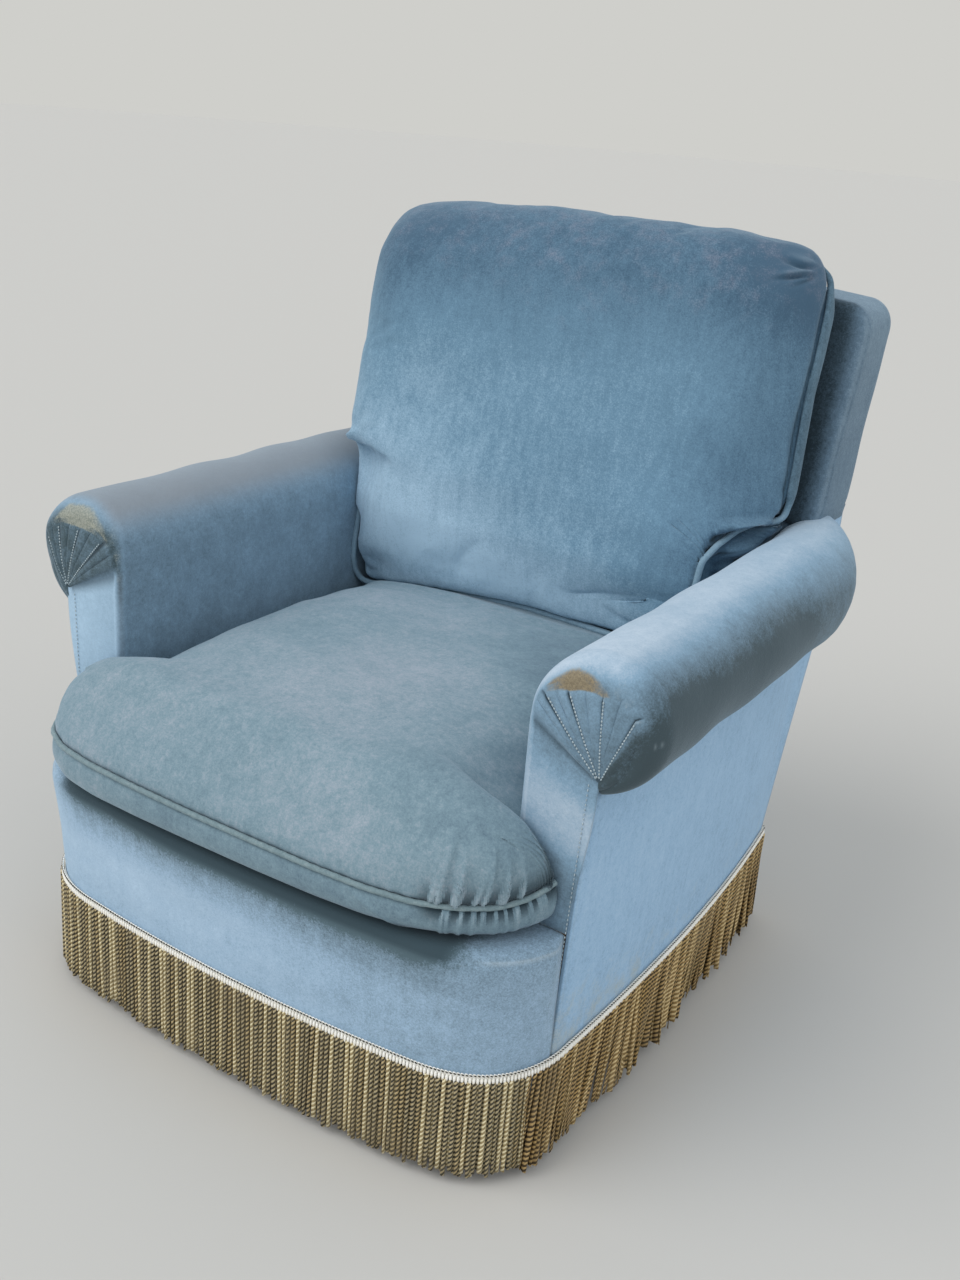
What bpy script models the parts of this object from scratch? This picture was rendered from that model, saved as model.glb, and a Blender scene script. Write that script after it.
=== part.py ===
"""An old upholstered armchair: beech frame, coil sprung seat, velvet covers, two loose cushions and a bullion fringe.

Frame: +Z up, metres, the front of the chair towards -Y, the floor at z = 0, the chair's mirror plane at x = 0.
Depths are given behind the front faces of the arms, and y_at() turns one into a y.
"""

import math

import bmesh
import bpy

# Fits
GAP = 0.0003
CLOTH = 0.0025

# Base, below the seat cushion
BASE_HALF_WIDTH = 0.354
WIDEST_DEPTH = 0.25
BOW_DEPTH = -0.1085
BOW_HALF_WIDTH = 0.235
BOW_SAG = 0.0125
SIDE_START_DEPTH = 0.03
RAIL_BOTTOM = 0.100
RAIL_TOP = 0.205
TRIM_TOP = 0.142
DECK_TOP = 0.2888
LIP_SWELL = 0.011

# Arms
ARM_INSIDE = 0.280
ROLL_X = 0.349
ROLL_Z = 0.518
ROLL_RADIUS = 0.068
NOSE_LENGTH = 0.030
NOSE_INSET = 0.027
PANEL_LEAN = 0.035
ROLL_END_DEPTH = 0.500
ROLL_END_LENGTH = 0.140
ROLL_END_LOSS = 0.042
ROLL_UNDERSIDE = math.radians(-78)
FRONT_PLATE = 0.0040
OUTSIDE_COLUMNS = (0.0, 0.05, 0.15, 0.3, 0.5, 0.7, 0.83, 0.90, 0.95, 0.98, 1.0)
OUTSIDE_ROWS = (0.0, 0.12, 0.35, 0.6, 0.8, 1.0)

# Back
BACK_HALF_WIDTH = 0.333
BACK_TOP = 0.860
BACK_TOP_DROP = 0.012
BACK_CORNER = 0.030
BACK_SHOULDER = 0.5900
REAR_DEPTH = 0.602
REAR_RAKE = 0.20
REAR_CURVE = 0.055
FACE_DEPTH = 0.6142
FACE_Z = 0.60
FACE_RAKE = 0.30
POST_THICKNESS = 0.045

# Timber
RAIL_INNER_X = 0.298
RAIL_OUTER_X = 0.330
RAIL_FRONT_DEPTH = -0.020
FRONT_RAIL_INSETS = (-0.0085, -0.0335)
BACK_RAIL_DEPTHS = (0.556, 0.581)
BACK_POST_X = (0.2930, 0.3250)
BACK_POST_TOP = 0.780
CREST_TOP = 0.834
LOWER_BACK_RAIL_Z = (0.300, 0.345)
LOWER_BACK_RAIL_THICKNESS = 0.025
FRONT_POST_X = (0.3050, 0.3430)
FRONT_POST_DEPTHS = (0.0043, 0.0450)
ARM_RAIL_X = (0.3050, 0.3350)
ARM_RAIL_Z = (0.440, 0.470)
ARM_RAIL_FRONT_DEPTH = 0.0110
TACK_RAIL_X = (0.3050, 0.3250)
TACK_RAIL_Z = (0.245, 0.275)
CORNER_BLOCK_LEG = 0.055
CORNER_BLOCK_TOP = 0.160

# Cushions
SEAT_FRONT_DEPTH = -0.125
SEAT_REAR_DEPTH = 0.500
SEAT_EAR_HALF_WIDTH = 0.336
SEAT_BODY_HALF_WIDTH = 0.2768
SEAT_SEAM_Z = 0.336
SEAT_CROWN_Z = 0.438
SEAT_CORNER = 0.080
BACK_CUSHION_TOP = 0.921
BACK_CUSHION_BOTTOM = 0.4140
BACK_EAR_HALF_WIDTH = 0.307
BACK_EAR_LEAN = -0.040
BACK_EAR_UNDERSIDE = 0.594
BACK_BODY_HALF_WIDTH = 0.2765
BACK_CUSHION_SKEW = 0.25
BACK_SEAM_SHARE = 0.40
PIPING_RADIUS = 0.0035

# Fringe
FRINGE_BOTTOM = 0.009
HEADING_HEIGHT = 0.0115
HEADING_THICKNESS = 0.0030
SKIRT_THICKNESS = 0.0062

# Springing and feet
SPRING_ROWS = (0.020, 0.220, 0.420)
SPRING_COLUMNS = (-0.170, 0.0, 0.170)
SPRING_TURNS = 4
SPRING_POINTS_A_TURN = 10
SPRING_RADIUS = 0.046
SPRING_WAIST = 0.030
SPRING_WIRE = 0.0019
FOOT_X = 0.286
FOOT_DEPTHS = {"front": -0.030, "rear": 0.532}
FOOT_RADIUS = 0.024
WEB_WIDTH = 0.050
WEB_THICKNESS = 0.0020
SPRINGING_TOP = 0.2555
HESSIAN_THICKNESS = 0.0015
HESSIAN_HALF_WIDTH = 0.3045
STUFFING_HALF_WIDTH = 0.2785

SIDES = {"right": 1, "left": -1}

# The row's y = 0 is half way between the piping on the seat and the top of the outside back.
FOREMOST_DEPTH = SEAT_FRONT_DEPTH - 2 * PIPING_RADIUS - GAP
TOP_RISE = BACK_TOP - RAIL_BOTTOM
REARMOST_DEPTH = REAR_DEPTH + REAR_RAKE * TOP_RISE + REAR_CURVE * TOP_RISE**2
FRONT_OF_ARMS = -(FOREMOST_DEPTH + REARMOST_DEPTH) / 2

FINISHES = {
    "velvet": ((0.115, 0.190, 0.275), 0.85, 0.0),
    "piping_velvet": ((0.120, 0.200, 0.270), 0.85, 0.0),
    "beech": ((0.480, 0.290, 0.140), 0.55, 0.0),
    "stained_beech": ((0.120, 0.055, 0.025), 0.40, 0.0),
    "jute": ((0.360, 0.250, 0.130), 0.95, 0.0),
    "hessian": ((0.400, 0.300, 0.170), 0.95, 0.0),
    "hair_stuffing": ((0.110, 0.085, 0.060), 1.00, 0.0),
    "spring_steel": ((0.420, 0.400, 0.370), 0.35, 1.0),
    "calico": ((0.060, 0.060, 0.060), 0.90, 0.0),
    "fringe_cotton": ((0.330, 0.260, 0.150), 0.90, 0.0),
}


def clear_scene():
    for obj in list(bpy.data.objects):
        bpy.data.objects.remove(obj, do_unlink=True)


def collection_named(name):
    collection = bpy.data.collections.new(name)
    bpy.context.scene.collection.children.link(collection)
    return collection


def finish_material(name):
    material = bpy.data.materials.get(name)
    if material:
        return material
    colour, roughness, metallic = FINISHES[name]
    material = bpy.data.materials.new(name)
    material.use_nodes = True
    shader = material.node_tree.nodes["Principled BSDF"]
    shader.inputs["Base Color"].default_value = (*colour, 1.0)
    shader.inputs["Roughness"].default_value = roughness
    shader.inputs["Metallic"].default_value = metallic
    return material


def add_object(name, data, finish):
    obj = bpy.data.objects.new(name, data)
    data.materials.append(finish_material(finish))
    parts.objects.link(obj)
    return obj


def y_at(depth):
    return FRONT_OF_ARMS + depth


def rear_depth(z):
    """Depth of the outside back, which is raked and slightly curved."""
    rise = z - RAIL_BOTTOM
    return REAR_DEPTH + REAR_RAKE * rise + REAR_CURVE * rise * rise


def face_depth(z):
    """Depth of the front face of the chair back."""
    return FACE_DEPTH + FACE_RAKE * (z - FACE_Z)


def post_rear_depth(z):
    return rear_depth(z) - CLOTH - 2 * GAP


def post_front_depth(z):
    return post_rear_depth(z) - POST_THICKNESS


def base_half_width(depth):
    """Half width of the covered base along its sides, widest in the middle."""
    if depth > WIDEST_DEPTH:
        return BASE_HALF_WIDTH - 0.023 * ((depth - WIDEST_DEPTH) / 0.36) ** 2
    return BASE_HALF_WIDTH - 0.006 * ((WIDEST_DEPTH - depth) / 0.22) ** 2


def base_half_outline(rear, steps=6):
    """Plan of half the covered base as (x, depth): the bowed front, a soft corner, then the side back to rear."""
    bow = [BOW_HALF_WIDTH * i / steps for i in range(steps + 1)]
    points = [(x, BOW_DEPTH + BOW_SAG * (x / BOW_HALF_WIDTH) ** 2) for x in bow]
    start, end = points[-1], (base_half_width(SIDE_START_DEPTH), SIDE_START_DEPTH)
    slope = 2 * BOW_SAG / BOW_HALF_WIDTH
    reach = end[0] - 0.001 - start[0]
    corner = (start[0] + reach, start[1] + slope * reach)
    for i in range(1, steps + 1):
        t = i / steps
        points.append(
            tuple(
                (1 - t) ** 2 * a + 2 * t * (1 - t) * b + t * t * c
                for a, b, c in zip(start, corner, end)
            )
        )
    side_steps = 8
    for i in range(1, side_steps + 1):
        depth = SIDE_START_DEPTH + (rear - SIDE_START_DEPTH) * i / side_steps
        points.append((base_half_width(depth), depth))
    return points


def segment_normal(start, end):
    """Unit normal to the right of a plan segment, which is outwards on a path that runs anticlockwise."""
    run, rise = end[0] - start[0], end[1] - start[1]
    length = math.hypot(run, rise)
    return rise / length, -run / length


def offset_path(points, distance):
    """Moves a plan path (x, depth), which runs anticlockwise seen from above, outwards by distance."""
    normals = [segment_normal(a, b) for a, b in zip(points, points[1:])]
    moved = []
    for i, (x, depth) in enumerate(points):
        before = normals[max(i - 1, 0)]
        after = normals[min(i, len(normals) - 1)]
        across, along = before[0] + after[0], before[1] + after[1]
        mitre = 2 * distance / (across * across + along * along)
        moved.append((x + mitre * across, depth + mitre * along))
    return moved


def mirrored_path(half):
    """A whole path from half of one that starts on the mirror plane, from left to right."""
    return [(-x, depth) for x, depth in reversed(half[1:])] + half


def box(name, x_range, depth_range, z_range, finish):
    """A straight piece of timber or sheet between the given limits."""
    mesh = bpy.data.meshes.new(name)
    shape = bmesh.new()
    bmesh.ops.create_cube(shape, size=1.0)
    ranges = (x_range, tuple(map(y_at, depth_range)), z_range)
    size = [high - low for low, high in ranges]
    bmesh.ops.scale(shape, vec=size, verts=shape.verts)
    shape.to_mesh(mesh)
    shape.free()
    obj = add_object(name, mesh, finish)
    obj.location = [(low + high) / 2 for low, high in ranges]
    return obj


def outline_curve(name, points, thickness, finish):
    """A flat closed outline given half its thickness on each side of its own plane."""
    curve = bpy.data.curves.new(name, "CURVE")
    curve.dimensions = "2D"
    curve.fill_mode = "BOTH"
    curve.extrude = thickness / 2
    spline = curve.splines.new("POLY")
    spline.points.add(len(points) - 1)
    for point, (u, v) in zip(spline.points, points):
        point.co = (u, v, 0.0, 1.0)
    spline.use_cyclic_u = True
    return add_object(name, curve, finish)


def plan_plate(name, points, low, high, finish):
    """A plate or block cut to an outline seen from above, as (x, depth)."""
    obj = outline_curve(name, [(x, y_at(depth)) for x, depth in points], high - low, finish)
    obj.location.z = (low + high) / 2
    return obj


def side_plank(name, points, low_x, high_x, finish):
    """A plank cut to an outline seen from the side, as (depth, z), between two x."""
    obj = outline_curve(name, [(y_at(depth), z) for depth, z in points], high_x - low_x, finish)
    obj.rotation_euler = (math.pi / 2, 0.0, math.pi / 2)
    obj.location.x = (low_x + high_x) / 2
    return obj


def front_plate(name, points, low_depth, high_depth, finish):
    """A plate cut to an outline seen from the front, as (x, z), between two depths."""
    obj = outline_curve(name, points, high_depth - low_depth, finish)
    obj.rotation_euler = (math.pi / 2, 0.0, 0.0)
    obj.location.y = y_at((low_depth + high_depth) / 2)
    return obj


def recalculated(shape, name):
    bmesh.ops.recalc_face_normals(shape, faces=shape.faces)
    mesh = bpy.data.meshes.new(name)
    shape.to_mesh(mesh)
    shape.free()
    return mesh


def loft(name, rings, finish):
    """A closed solid through rings of (x, depth, z), all with the same number of points."""
    shape = bmesh.new()
    rows = [[shape.verts.new((x, y_at(depth), z)) for x, depth, z in ring] for ring in rings]
    count = len(rings[0])
    for row, following in zip(rows, rows[1:]):
        for i in range(count):
            j = (i + 1) % count
            shape.faces.new((row[i], row[j], following[j], following[i]))
    for row in (rows[0], rows[-1]):
        shape.faces.new(row)
    return add_object(name, recalculated(shape, name), finish)


def sheet(name, rows, thickness, finish, keep=None):
    """A sheet of cloth or web: rows of (x, depth, z) thickened to the side away from the face normals."""
    shape = bmesh.new()
    verts = [[shape.verts.new((x, y_at(depth), z)) for x, depth, z in row] for row in rows]
    for r, (row, following) in enumerate(zip(verts, verts[1:])):
        for c in range(len(row) - 1):
            if keep is None or keep(r, c):
                shape.faces.new((row[c], row[c + 1], following[c + 1], following[c]))
    loose = [vert for vert in shape.verts if not vert.link_faces]
    bmesh.ops.delete(shape, geom=loose, context="VERTS")
    mesh = bpy.data.meshes.new(name)
    shape.to_mesh(mesh)
    shape.free()
    obj = add_object(name, mesh, finish)
    solidify = obj.modifiers.new("thickness", "SOLIDIFY")
    solidify.thickness = thickness
    solidify.offset = -1.0
    solidify.use_even_offset = True
    return obj


def tube(name, points, radius, finish, cyclic=False, sides=1):
    """A wire or cord along points of (x, depth, z)."""
    curve = bpy.data.curves.new(name, "CURVE")
    curve.dimensions = "3D"
    curve.bevel_depth = radius
    curve.bevel_resolution = sides
    curve.use_fill_caps = not cyclic
    spline = curve.splines.new("POLY")
    spline.points.add(len(points) - 1)
    for point, (x, depth, z) in zip(spline.points, points):
        point.co = (x, y_at(depth), z, 1.0)
    spline.use_cyclic_u = cyclic
    return add_object(name, curve, finish)


def spaced(low, high, count):
    return [low + (high - low) * i / (count - 1) for i in range(count)]


# Frame


def on_side(limits, sign):
    """A pair of x limits given for the right side, as they are on the side with this sign."""
    return sorted(sign * x for x in limits)


def lower_back_rail_rear(z):
    return post_front_depth(z) + LOWER_BACK_RAIL_THICKNESS


def make_rails():
    end_depth = RAIL_FRONT_DEPTH - GAP
    side_depths = (RAIL_FRONT_DEPTH, post_front_depth(RAIL_BOTTOM) - GAP)
    for side, sign in SIDES.items():
        ends = on_side((RAIL_INNER_X, RAIL_OUTER_X), sign)
        box(f"side_rail_{side}", ends, side_depths, (RAIL_BOTTOM, RAIL_TOP), "beech")
    outer, inner = (offset_path(base_half_outline(0.5), inset) for inset in FRONT_RAIL_INSETS)
    outer = [point for point in outer if point[1] < end_depth]
    inner = [point for point in inner if point[1] < end_depth]
    half = outer + [(outer[-1][0] + 0.001, end_depth), (RAIL_INNER_X, end_depth)] + inner[::-1]
    mirror = [(-x, depth) for x, depth in reversed(half[1:-1])]
    plan_plate("front_rail", half + mirror, RAIL_BOTTOM, RAIL_TOP, "beech")
    between = BACK_POST_X[0] - GAP
    box("back_rail", (-between, between), BACK_RAIL_DEPTHS, (RAIL_BOTTOM, RAIL_TOP), "beech")
    outline = raked_outline(post_front_depth, lower_back_rail_rear, *LOWER_BACK_RAIL_Z, 3)
    side_plank("lower_back_rail", outline, -between, between, "beech")


def raked_outline(front, rear, low, high, steps):
    heights = spaced(low, high, steps)
    return [(front(z), z) for z in heights] + [(rear(z), z) for z in reversed(heights)]


def make_back_posts():
    for side, sign in SIDES.items():
        outline = raked_outline(post_front_depth, post_rear_depth, RAIL_BOTTOM, BACK_POST_TOP, 9)
        side_plank(f"back_post_{side}", outline, *on_side(BACK_POST_X, sign), "beech")
    outline = raked_outline(post_front_depth, post_rear_depth, BACK_POST_TOP + GAP, CREST_TOP, 3)
    side_plank("crest_rail", outline, -BACK_POST_X[1], BACK_POST_X[1], "beech")


def make_arm_frame():
    post_z = (RAIL_TOP + GAP, ARM_RAIL_Z[0] - GAP)
    rail_depths = (ARM_RAIL_FRONT_DEPTH, post_front_depth(ARM_RAIL_Z[0]) - GAP)
    tack_depths = (FRONT_POST_DEPTHS[1] + GAP, post_front_depth(TACK_RAIL_Z[0]) - GAP)
    for side, sign in SIDES.items():
        box(f"front_post_{side}", on_side(FRONT_POST_X, sign), FRONT_POST_DEPTHS, post_z, "beech")
        box(f"arm_rail_{side}", on_side(ARM_RAIL_X, sign), rail_depths, ARM_RAIL_Z, "beech")
        box(f"arm_tack_rail_{side}", on_side(TACK_RAIL_X, sign), tack_depths, TACK_RAIL_Z, "beech")


def make_corner_blocks():
    leg = CORNER_BLOCK_LEG
    inside_x = RAIL_INNER_X - GAP
    corners = {
        "front": (RAIL_FRONT_DEPTH + GAP, 1),
        "rear": (post_front_depth(RAIL_BOTTOM) - GAP, -1),
    }
    for place, (depth, inward) in corners.items():
        for side, sign in SIDES.items():
            triangle = [(inside_x, depth), (inside_x - leg, depth), (inside_x, depth + inward * leg)]
            outline = [(sign * x, y) for x, y in triangle]
            name = f"corner_block_{place}_{side}"
            plan_plate(name, outline, RAIL_BOTTOM, CORNER_BLOCK_TOP, "beech")


def make_feet():
    top = RAIL_BOTTOM - GAP
    profile = [(0.0, top), (FOOT_RADIUS, top), (FOOT_RADIUS, top - 0.012), (0.0215, top - 0.018)]
    profile += [(0.0215, 0.070), (0.0170, 0.006), (0.0150, 0.0), (0.0, 0.0)]
    for place, depth in FOOT_DEPTHS.items():
        for side, sign in SIDES.items():
            name = f"foot_{place}_{side}"
            mesh = bpy.data.meshes.new(name)
            edges = [(i, i + 1) for i in range(len(profile) - 1)]
            mesh.from_pydata([(radius, 0.0, z) for radius, z in profile], edges, [])
            obj = add_object(name, mesh, "stained_beech")
            obj.location = (sign * FOOT_X, y_at(depth), 0.0)
            screw = obj.modifiers.new("turning", "SCREW")
            screw.steps = screw.render_steps = 18
            screw.use_merge_vertices = True
            screw.merge_threshold = 0.0001


# Springing and stuffing


def strap_lines(centres, width, ends):
    """Edges of parallel straps and of the bare strips between them, from one end to the other."""
    lines = [ends[0]]
    for centre in centres:
        lines += [centre - width / 2, centre + width / 2]
    return lines + [ends[1]]


def web(name, columns, rows, place, thickness, finish):
    """Crossing straps: strips at odd places in columns and rows hold webbing, the cells between are open."""
    points = [[place(x, row) for x in columns] for row in rows]
    sheet(name, points, thickness, finish, keep=lambda r, c: r % 2 == 1 or c % 2 == 1)


def make_webbing():
    columns = strap_lines((-0.200, -0.100, 0.0, 0.100, 0.200), WEB_WIDTH, (-0.322, 0.322))
    rows = strap_lines((0.060, 0.180, 0.300, 0.420), WEB_WIDTH, (-0.075, 0.590))
    web("seat_webbing", columns, rows, on_rail_undersides, WEB_THICKNESS, "jute")
    columns = strap_lines((-0.160, 0.0, 0.160), WEB_WIDTH, (-0.3040, 0.3040))
    rows = strap_lines((0.430, 0.560, 0.690), WEB_WIDTH, (0.310, 0.818))
    web("back_webbing", columns, rows, on_post_fronts, WEB_THICKNESS, "jute")


def on_rail_undersides(x, depth):
    return x, depth, RAIL_BOTTOM - GAP


def on_post_fronts(x, z):
    return x, post_front_depth(z) - GAP - WEB_THICKNESS, z


def make_springs():
    low = RAIL_BOTTOM + GAP + SPRING_WIRE
    high = SPRINGING_TOP - GAP - SPRING_WIRE
    steps = SPRING_TURNS * SPRING_POINTS_A_TURN
    number = 0
    for depth in SPRING_ROWS:
        for x in SPRING_COLUMNS:
            number += 1
            points = []
            for i in range(steps + 1):
                angle = 2 * math.pi * i / SPRING_POINTS_A_TURN
                share = i / steps
                radius = SPRING_WAIST + (SPRING_RADIUS - SPRING_WAIST) * (2 * share - 1) ** 2
                across = (x + radius * math.cos(angle), depth + radius * math.sin(angle))
                points.append((*across, low + (high - low) * share))
            tube(f"seat_spring_{number}", points, SPRING_WIRE, "spring_steel", sides=0)


def hessian_point(x, row):
    """A point of the hessian, which lies flat on the springs and slopes down to the rails all round."""
    top, edge = SPRINGING_TOP, RAIL_TOP + GAP
    flat_x, edge_x = 0.225, HESSIAN_HALF_WIDTH
    front = front_edge_depth(x)
    depth = (front, front + 0.050, 0.475, 0.5735)[row]
    share = 1.0 if row in (0, 3) else max((abs(x) - flat_x) / (edge_x - flat_x), 0.0)
    return x, depth, top + (edge - top) * share


def front_edge_depth(x):
    """Depth of the line along the bowed front rail where the hessian is tacked."""
    outline = base_half_outline(0.5)
    for (x0, depth0), (x1, depth1) in zip(outline, outline[1:]):
        if x0 <= abs(x) <= x1:
            return depth0 + (depth1 - depth0) * (abs(x) - x0) / (x1 - x0) + 0.020
    return outline[-1][1]


def make_seat_layers():
    half, edge = STUFFING_HALF_WIDTH, HESSIAN_HALF_WIDTH
    xs = (-edge, -half, -0.225, -0.120, 0.0, 0.120, 0.225, half, edge)
    rows = [[hessian_point(x, row) for x in xs] for row in range(4)]
    lifted = [[(x, depth, z + HESSIAN_THICKNESS) for x, depth, z in row] for row in rows]
    sheet("spring_hessian", lifted, HESSIAN_THICKNESS, "hessian")
    top = DECK_TOP - CLOTH - GAP
    rings = []
    for row in rows:
        under = [(x, depth, z + HESSIAN_THICKNESS + 3 * GAP) for x, depth, z in row[1:-1]]
        rings.append(under + [(x, depth, top) for x, depth, z in reversed(under)])
    loft("seat_stuffing", rings, "hair_stuffing")
    outline = [p for p in offset_path(base_half_outline(0.5), -CLOTH - 2 * GAP) if p[1] < -GAP]
    outline.append((outline[-1][0] + 0.0008, -GAP))
    inner = [(x, front_edge_depth(x) - 2 * GAP) for x in (0.3050, half, 0.225, 0.120, 0.0)]
    half_lip = outline + [(0.3050, -GAP)] + inner
    lip = [(-x, depth) for x, depth in reversed(half_lip[1:-1])] + half_lip
    plan_plate("front_lip_roll", lip, RAIL_TOP + GAP, top, "hair_stuffing")


# Covers


def mirrored_rows(rows):
    """Rows of the same sheet on the other side of the chair, in the order that keeps the face normals outwards."""
    return [[(-x, depth, z) for x, depth, z in reversed(row)] for row in rows]


def outline_x(depth):
    """Half width of the covered base at a depth behind the arm fronts."""
    if depth >= SIDE_START_DEPTH:
        return base_half_width(depth)
    outline = base_half_outline(0.5)
    for (x0, depth0), (x1, depth1) in zip(outline, outline[1:]):
        if x0 > BOW_HALF_WIDTH and depth0 <= depth <= depth1:
            return x0 + (x1 - x0) * (depth - depth0) / (depth1 - depth0)
    return outline[-1][0]


def panel_x(depth, z):
    return outline_x(depth) + PANEL_LEAN * max(z - TRIM_TOP, 0.0)


def roll_circle(depth):
    """Centre and radius (x, z, r) of the arm roll, which tapers where it rounds into the back."""
    share = min(max((depth - ROLL_END_DEPTH) / ROLL_END_LENGTH, 0.0), 1.0)
    radius = ROLL_RADIUS - ROLL_END_LOSS * (1 - math.sqrt(1 - share * share))
    lost = ROLL_RADIUS - radius
    return ROLL_X - lost, ROLL_Z + lost, radius


def front_face_radius(angle):
    """Reach of the flat front of the arm from the roll's centre, at an angle up from +X."""
    rounded = ROLL_RADIUS - NOSE_INSET * max(math.sin(angle), 0.0)
    tilt = angle + math.radians(22.7)
    if abs(tilt) < math.radians(60):
        return min(rounded, 0.033 / math.cos(tilt))
    return rounded


def arm_section(depth, inset, bottom):
    """The arm's outline at a depth as (x, z): up the inside, over the roll and under its outer side."""
    centre_x, centre_z, radius = roll_circle(depth)
    points = [(ARM_INSIDE + inset, z) for z in spaced(bottom, ROLL_Z - 0.030, 4)]
    share = min(max(depth / NOSE_LENGTH, 0.0), 1.0)
    fullness = math.sqrt(1 - (1 - share) ** 2)
    for angle in spaced(math.pi, ROLL_UNDERSIDE, 22):
        front = front_face_radius(angle) * radius / ROLL_RADIUS
        reach = front + (radius - front) * fullness - inset
        points.append((centre_x + reach * math.cos(angle), centre_z + reach * math.sin(angle)))
    return points


def roll_end(z):
    """Depth at which the arm's inside and roll stop, just in front of the webbing on the back post."""
    return post_front_depth(z) - 0.0036


def outside_cover_top(place):
    """Height of the outside cover's top edge: close under the roll, then up behind the roll's end."""
    if place > 0.96:
        return BACK_SHOULDER - GAP
    if place > 0.92:
        return 0.520
    depth = FRONT_PLATE + place * (ROLL_END_DEPTH + ROLL_END_LENGTH - FRONT_PLATE)
    centre_x, centre_z, radius = roll_circle(depth)
    return centre_z + radius * math.sin(ROLL_UNDERSIDE) - 0.0022


def outside_cover_point(place, share):
    """A point of the outside arm cover, at shares of its length and of its height."""
    z = RAIL_BOTTOM + share * (outside_cover_top(place) - RAIL_BOTTOM)
    front = FRONT_PLATE + GAP
    depth = front + place * (rear_depth(z) - GAP - front)
    x = panel_x(min(depth, 0.61), z)
    if place > 0.92 and z > 0.450:
        x += (BACK_HALF_WIDTH - x) * (z - 0.450) / (BACK_SHOULDER - 0.450)
    return x, depth, z


def make_arm_covers():
    cover_depths = (FRONT_PLATE + GAP, 0.009, 0.017, NOSE_LENGTH, 0.250, ROLL_END_DEPTH)
    rows = [[(x, d, z) for x, z in arm_section(d, 0.0, 0.2620)] for d in cover_depths]
    for share in (0.35, 0.60, 0.78, 0.90, 0.98):
        section = arm_section(ROLL_END_DEPTH + share * ROLL_END_LENGTH, 0.0, 0.2620)
        rows.append([(x, ROLL_END_DEPTH + share * (roll_end(z) - ROLL_END_DEPTH), z) for x, z in section])
    sheet("arm_cover_left", mirrored_rows(rows), CLOTH, "velvet")
    sheet("arm_cover_right", rows, CLOTH, "velvet")

    rings = []
    for depth in (0.0085, 0.014, 0.022, 0.036, 0.280, ROLL_END_DEPTH):
        outer = arm_section(min(depth - 0.004, ROLL_END_DEPTH), CLOTH + 3 * GAP, 0.2900)
        frame = [(0.3353, 0.4585), (0.3353, 0.4703), (0.3047, 0.4703), (0.3047, 0.2900)]
        rings.append([(x, depth, z) for x, z in outer + frame])
    loft("arm_stuffing_right", rings, "hair_stuffing")
    loft("arm_stuffing_left", [[(-x, d, z) for x, d, z in ring] for ring in rings], "hair_stuffing")

    low = DECK_TOP + GAP
    outline = [(ARM_INSIDE + GAP, low), (ARM_INSIDE + GAP, ROLL_Z - 0.030)]
    for angle in spaced(math.pi, ROLL_UNDERSIDE, 22):
        reach = front_face_radius(angle) - GAP
        outline.append((ROLL_X + reach * math.cos(angle), ROLL_Z + reach * math.sin(angle)))
    outline += [(panel_x(0.0, 0.440), 0.440), (panel_x(0.0, low), low)]
    for side, sign in SIDES.items():
        points = [(sign * x, z) for x, z in outline]
        front_plate(f"arm_front_cover_{side}", points, 0.0, FRONT_PLATE, "velvet")

    rows = [[outside_cover_point(place, share) for place in OUTSIDE_COLUMNS] for share in OUTSIDE_ROWS]
    sheet("arm_outside_cover_right", rows, CLOTH, "velvet")
    sheet("arm_outside_cover_left", mirrored_rows(rows), CLOTH, "velvet")


def make_front_and_deck_covers():
    half = [p for p in base_half_outline(0.5) if p[1] < 0.0]
    half.append((outline_x(0.0) - GAP, -GAP))
    rows = []
    swell = {0.100: 0.0, TRIM_TOP: 0.0, 0.200: 0.0045, 0.245: 0.009, 0.268: LIP_SWELL, 0.281: 0.009, DECK_TOP: 0.001}
    for z, distance in swell.items():
        path = mirrored_path(offset_path(half, distance))
        rows.append([(x, min(depth, -GAP), z) for x, depth in path])
    sheet("front_border_cover", rows, CLOTH, "velvet")
    outline = [p for p in offset_path(base_half_outline(0.5), -CLOTH - 2 * GAP) if p[1] < -2 * GAP]
    inside = ARM_INSIDE - 2 * GAP
    rear = face_depth(DECK_TOP)
    half_deck = outline + [(outline[-1][0], -2 * GAP), (inside, -2 * GAP), (inside, rear)]
    deck = [(-x, depth) for x, depth in reversed(half_deck[1:])] + half_deck
    plan_plate("deck_cover", deck, DECK_TOP - CLOTH, DECK_TOP, "velvet")
    notch_x, front, rear = 0.255, -0.055, 0.585
    half_cloth = [(notch_x, front), (notch_x, 0.005), (0.322, 0.005), (0.322, 0.500), (notch_x, 0.500)]
    half_cloth += [(notch_x, rear)]
    cloth = half_cloth + [(-x, depth) for x, depth in reversed(half_cloth)]
    plan_plate("dust_cloth", cloth, RAIL_BOTTOM - 0.0037, RAIL_BOTTOM - 0.0026, "calico")


def back_top(x):
    return BACK_TOP - BACK_TOP_DROP * (x / (BACK_HALF_WIDTH - BACK_CORNER)) ** 2


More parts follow.
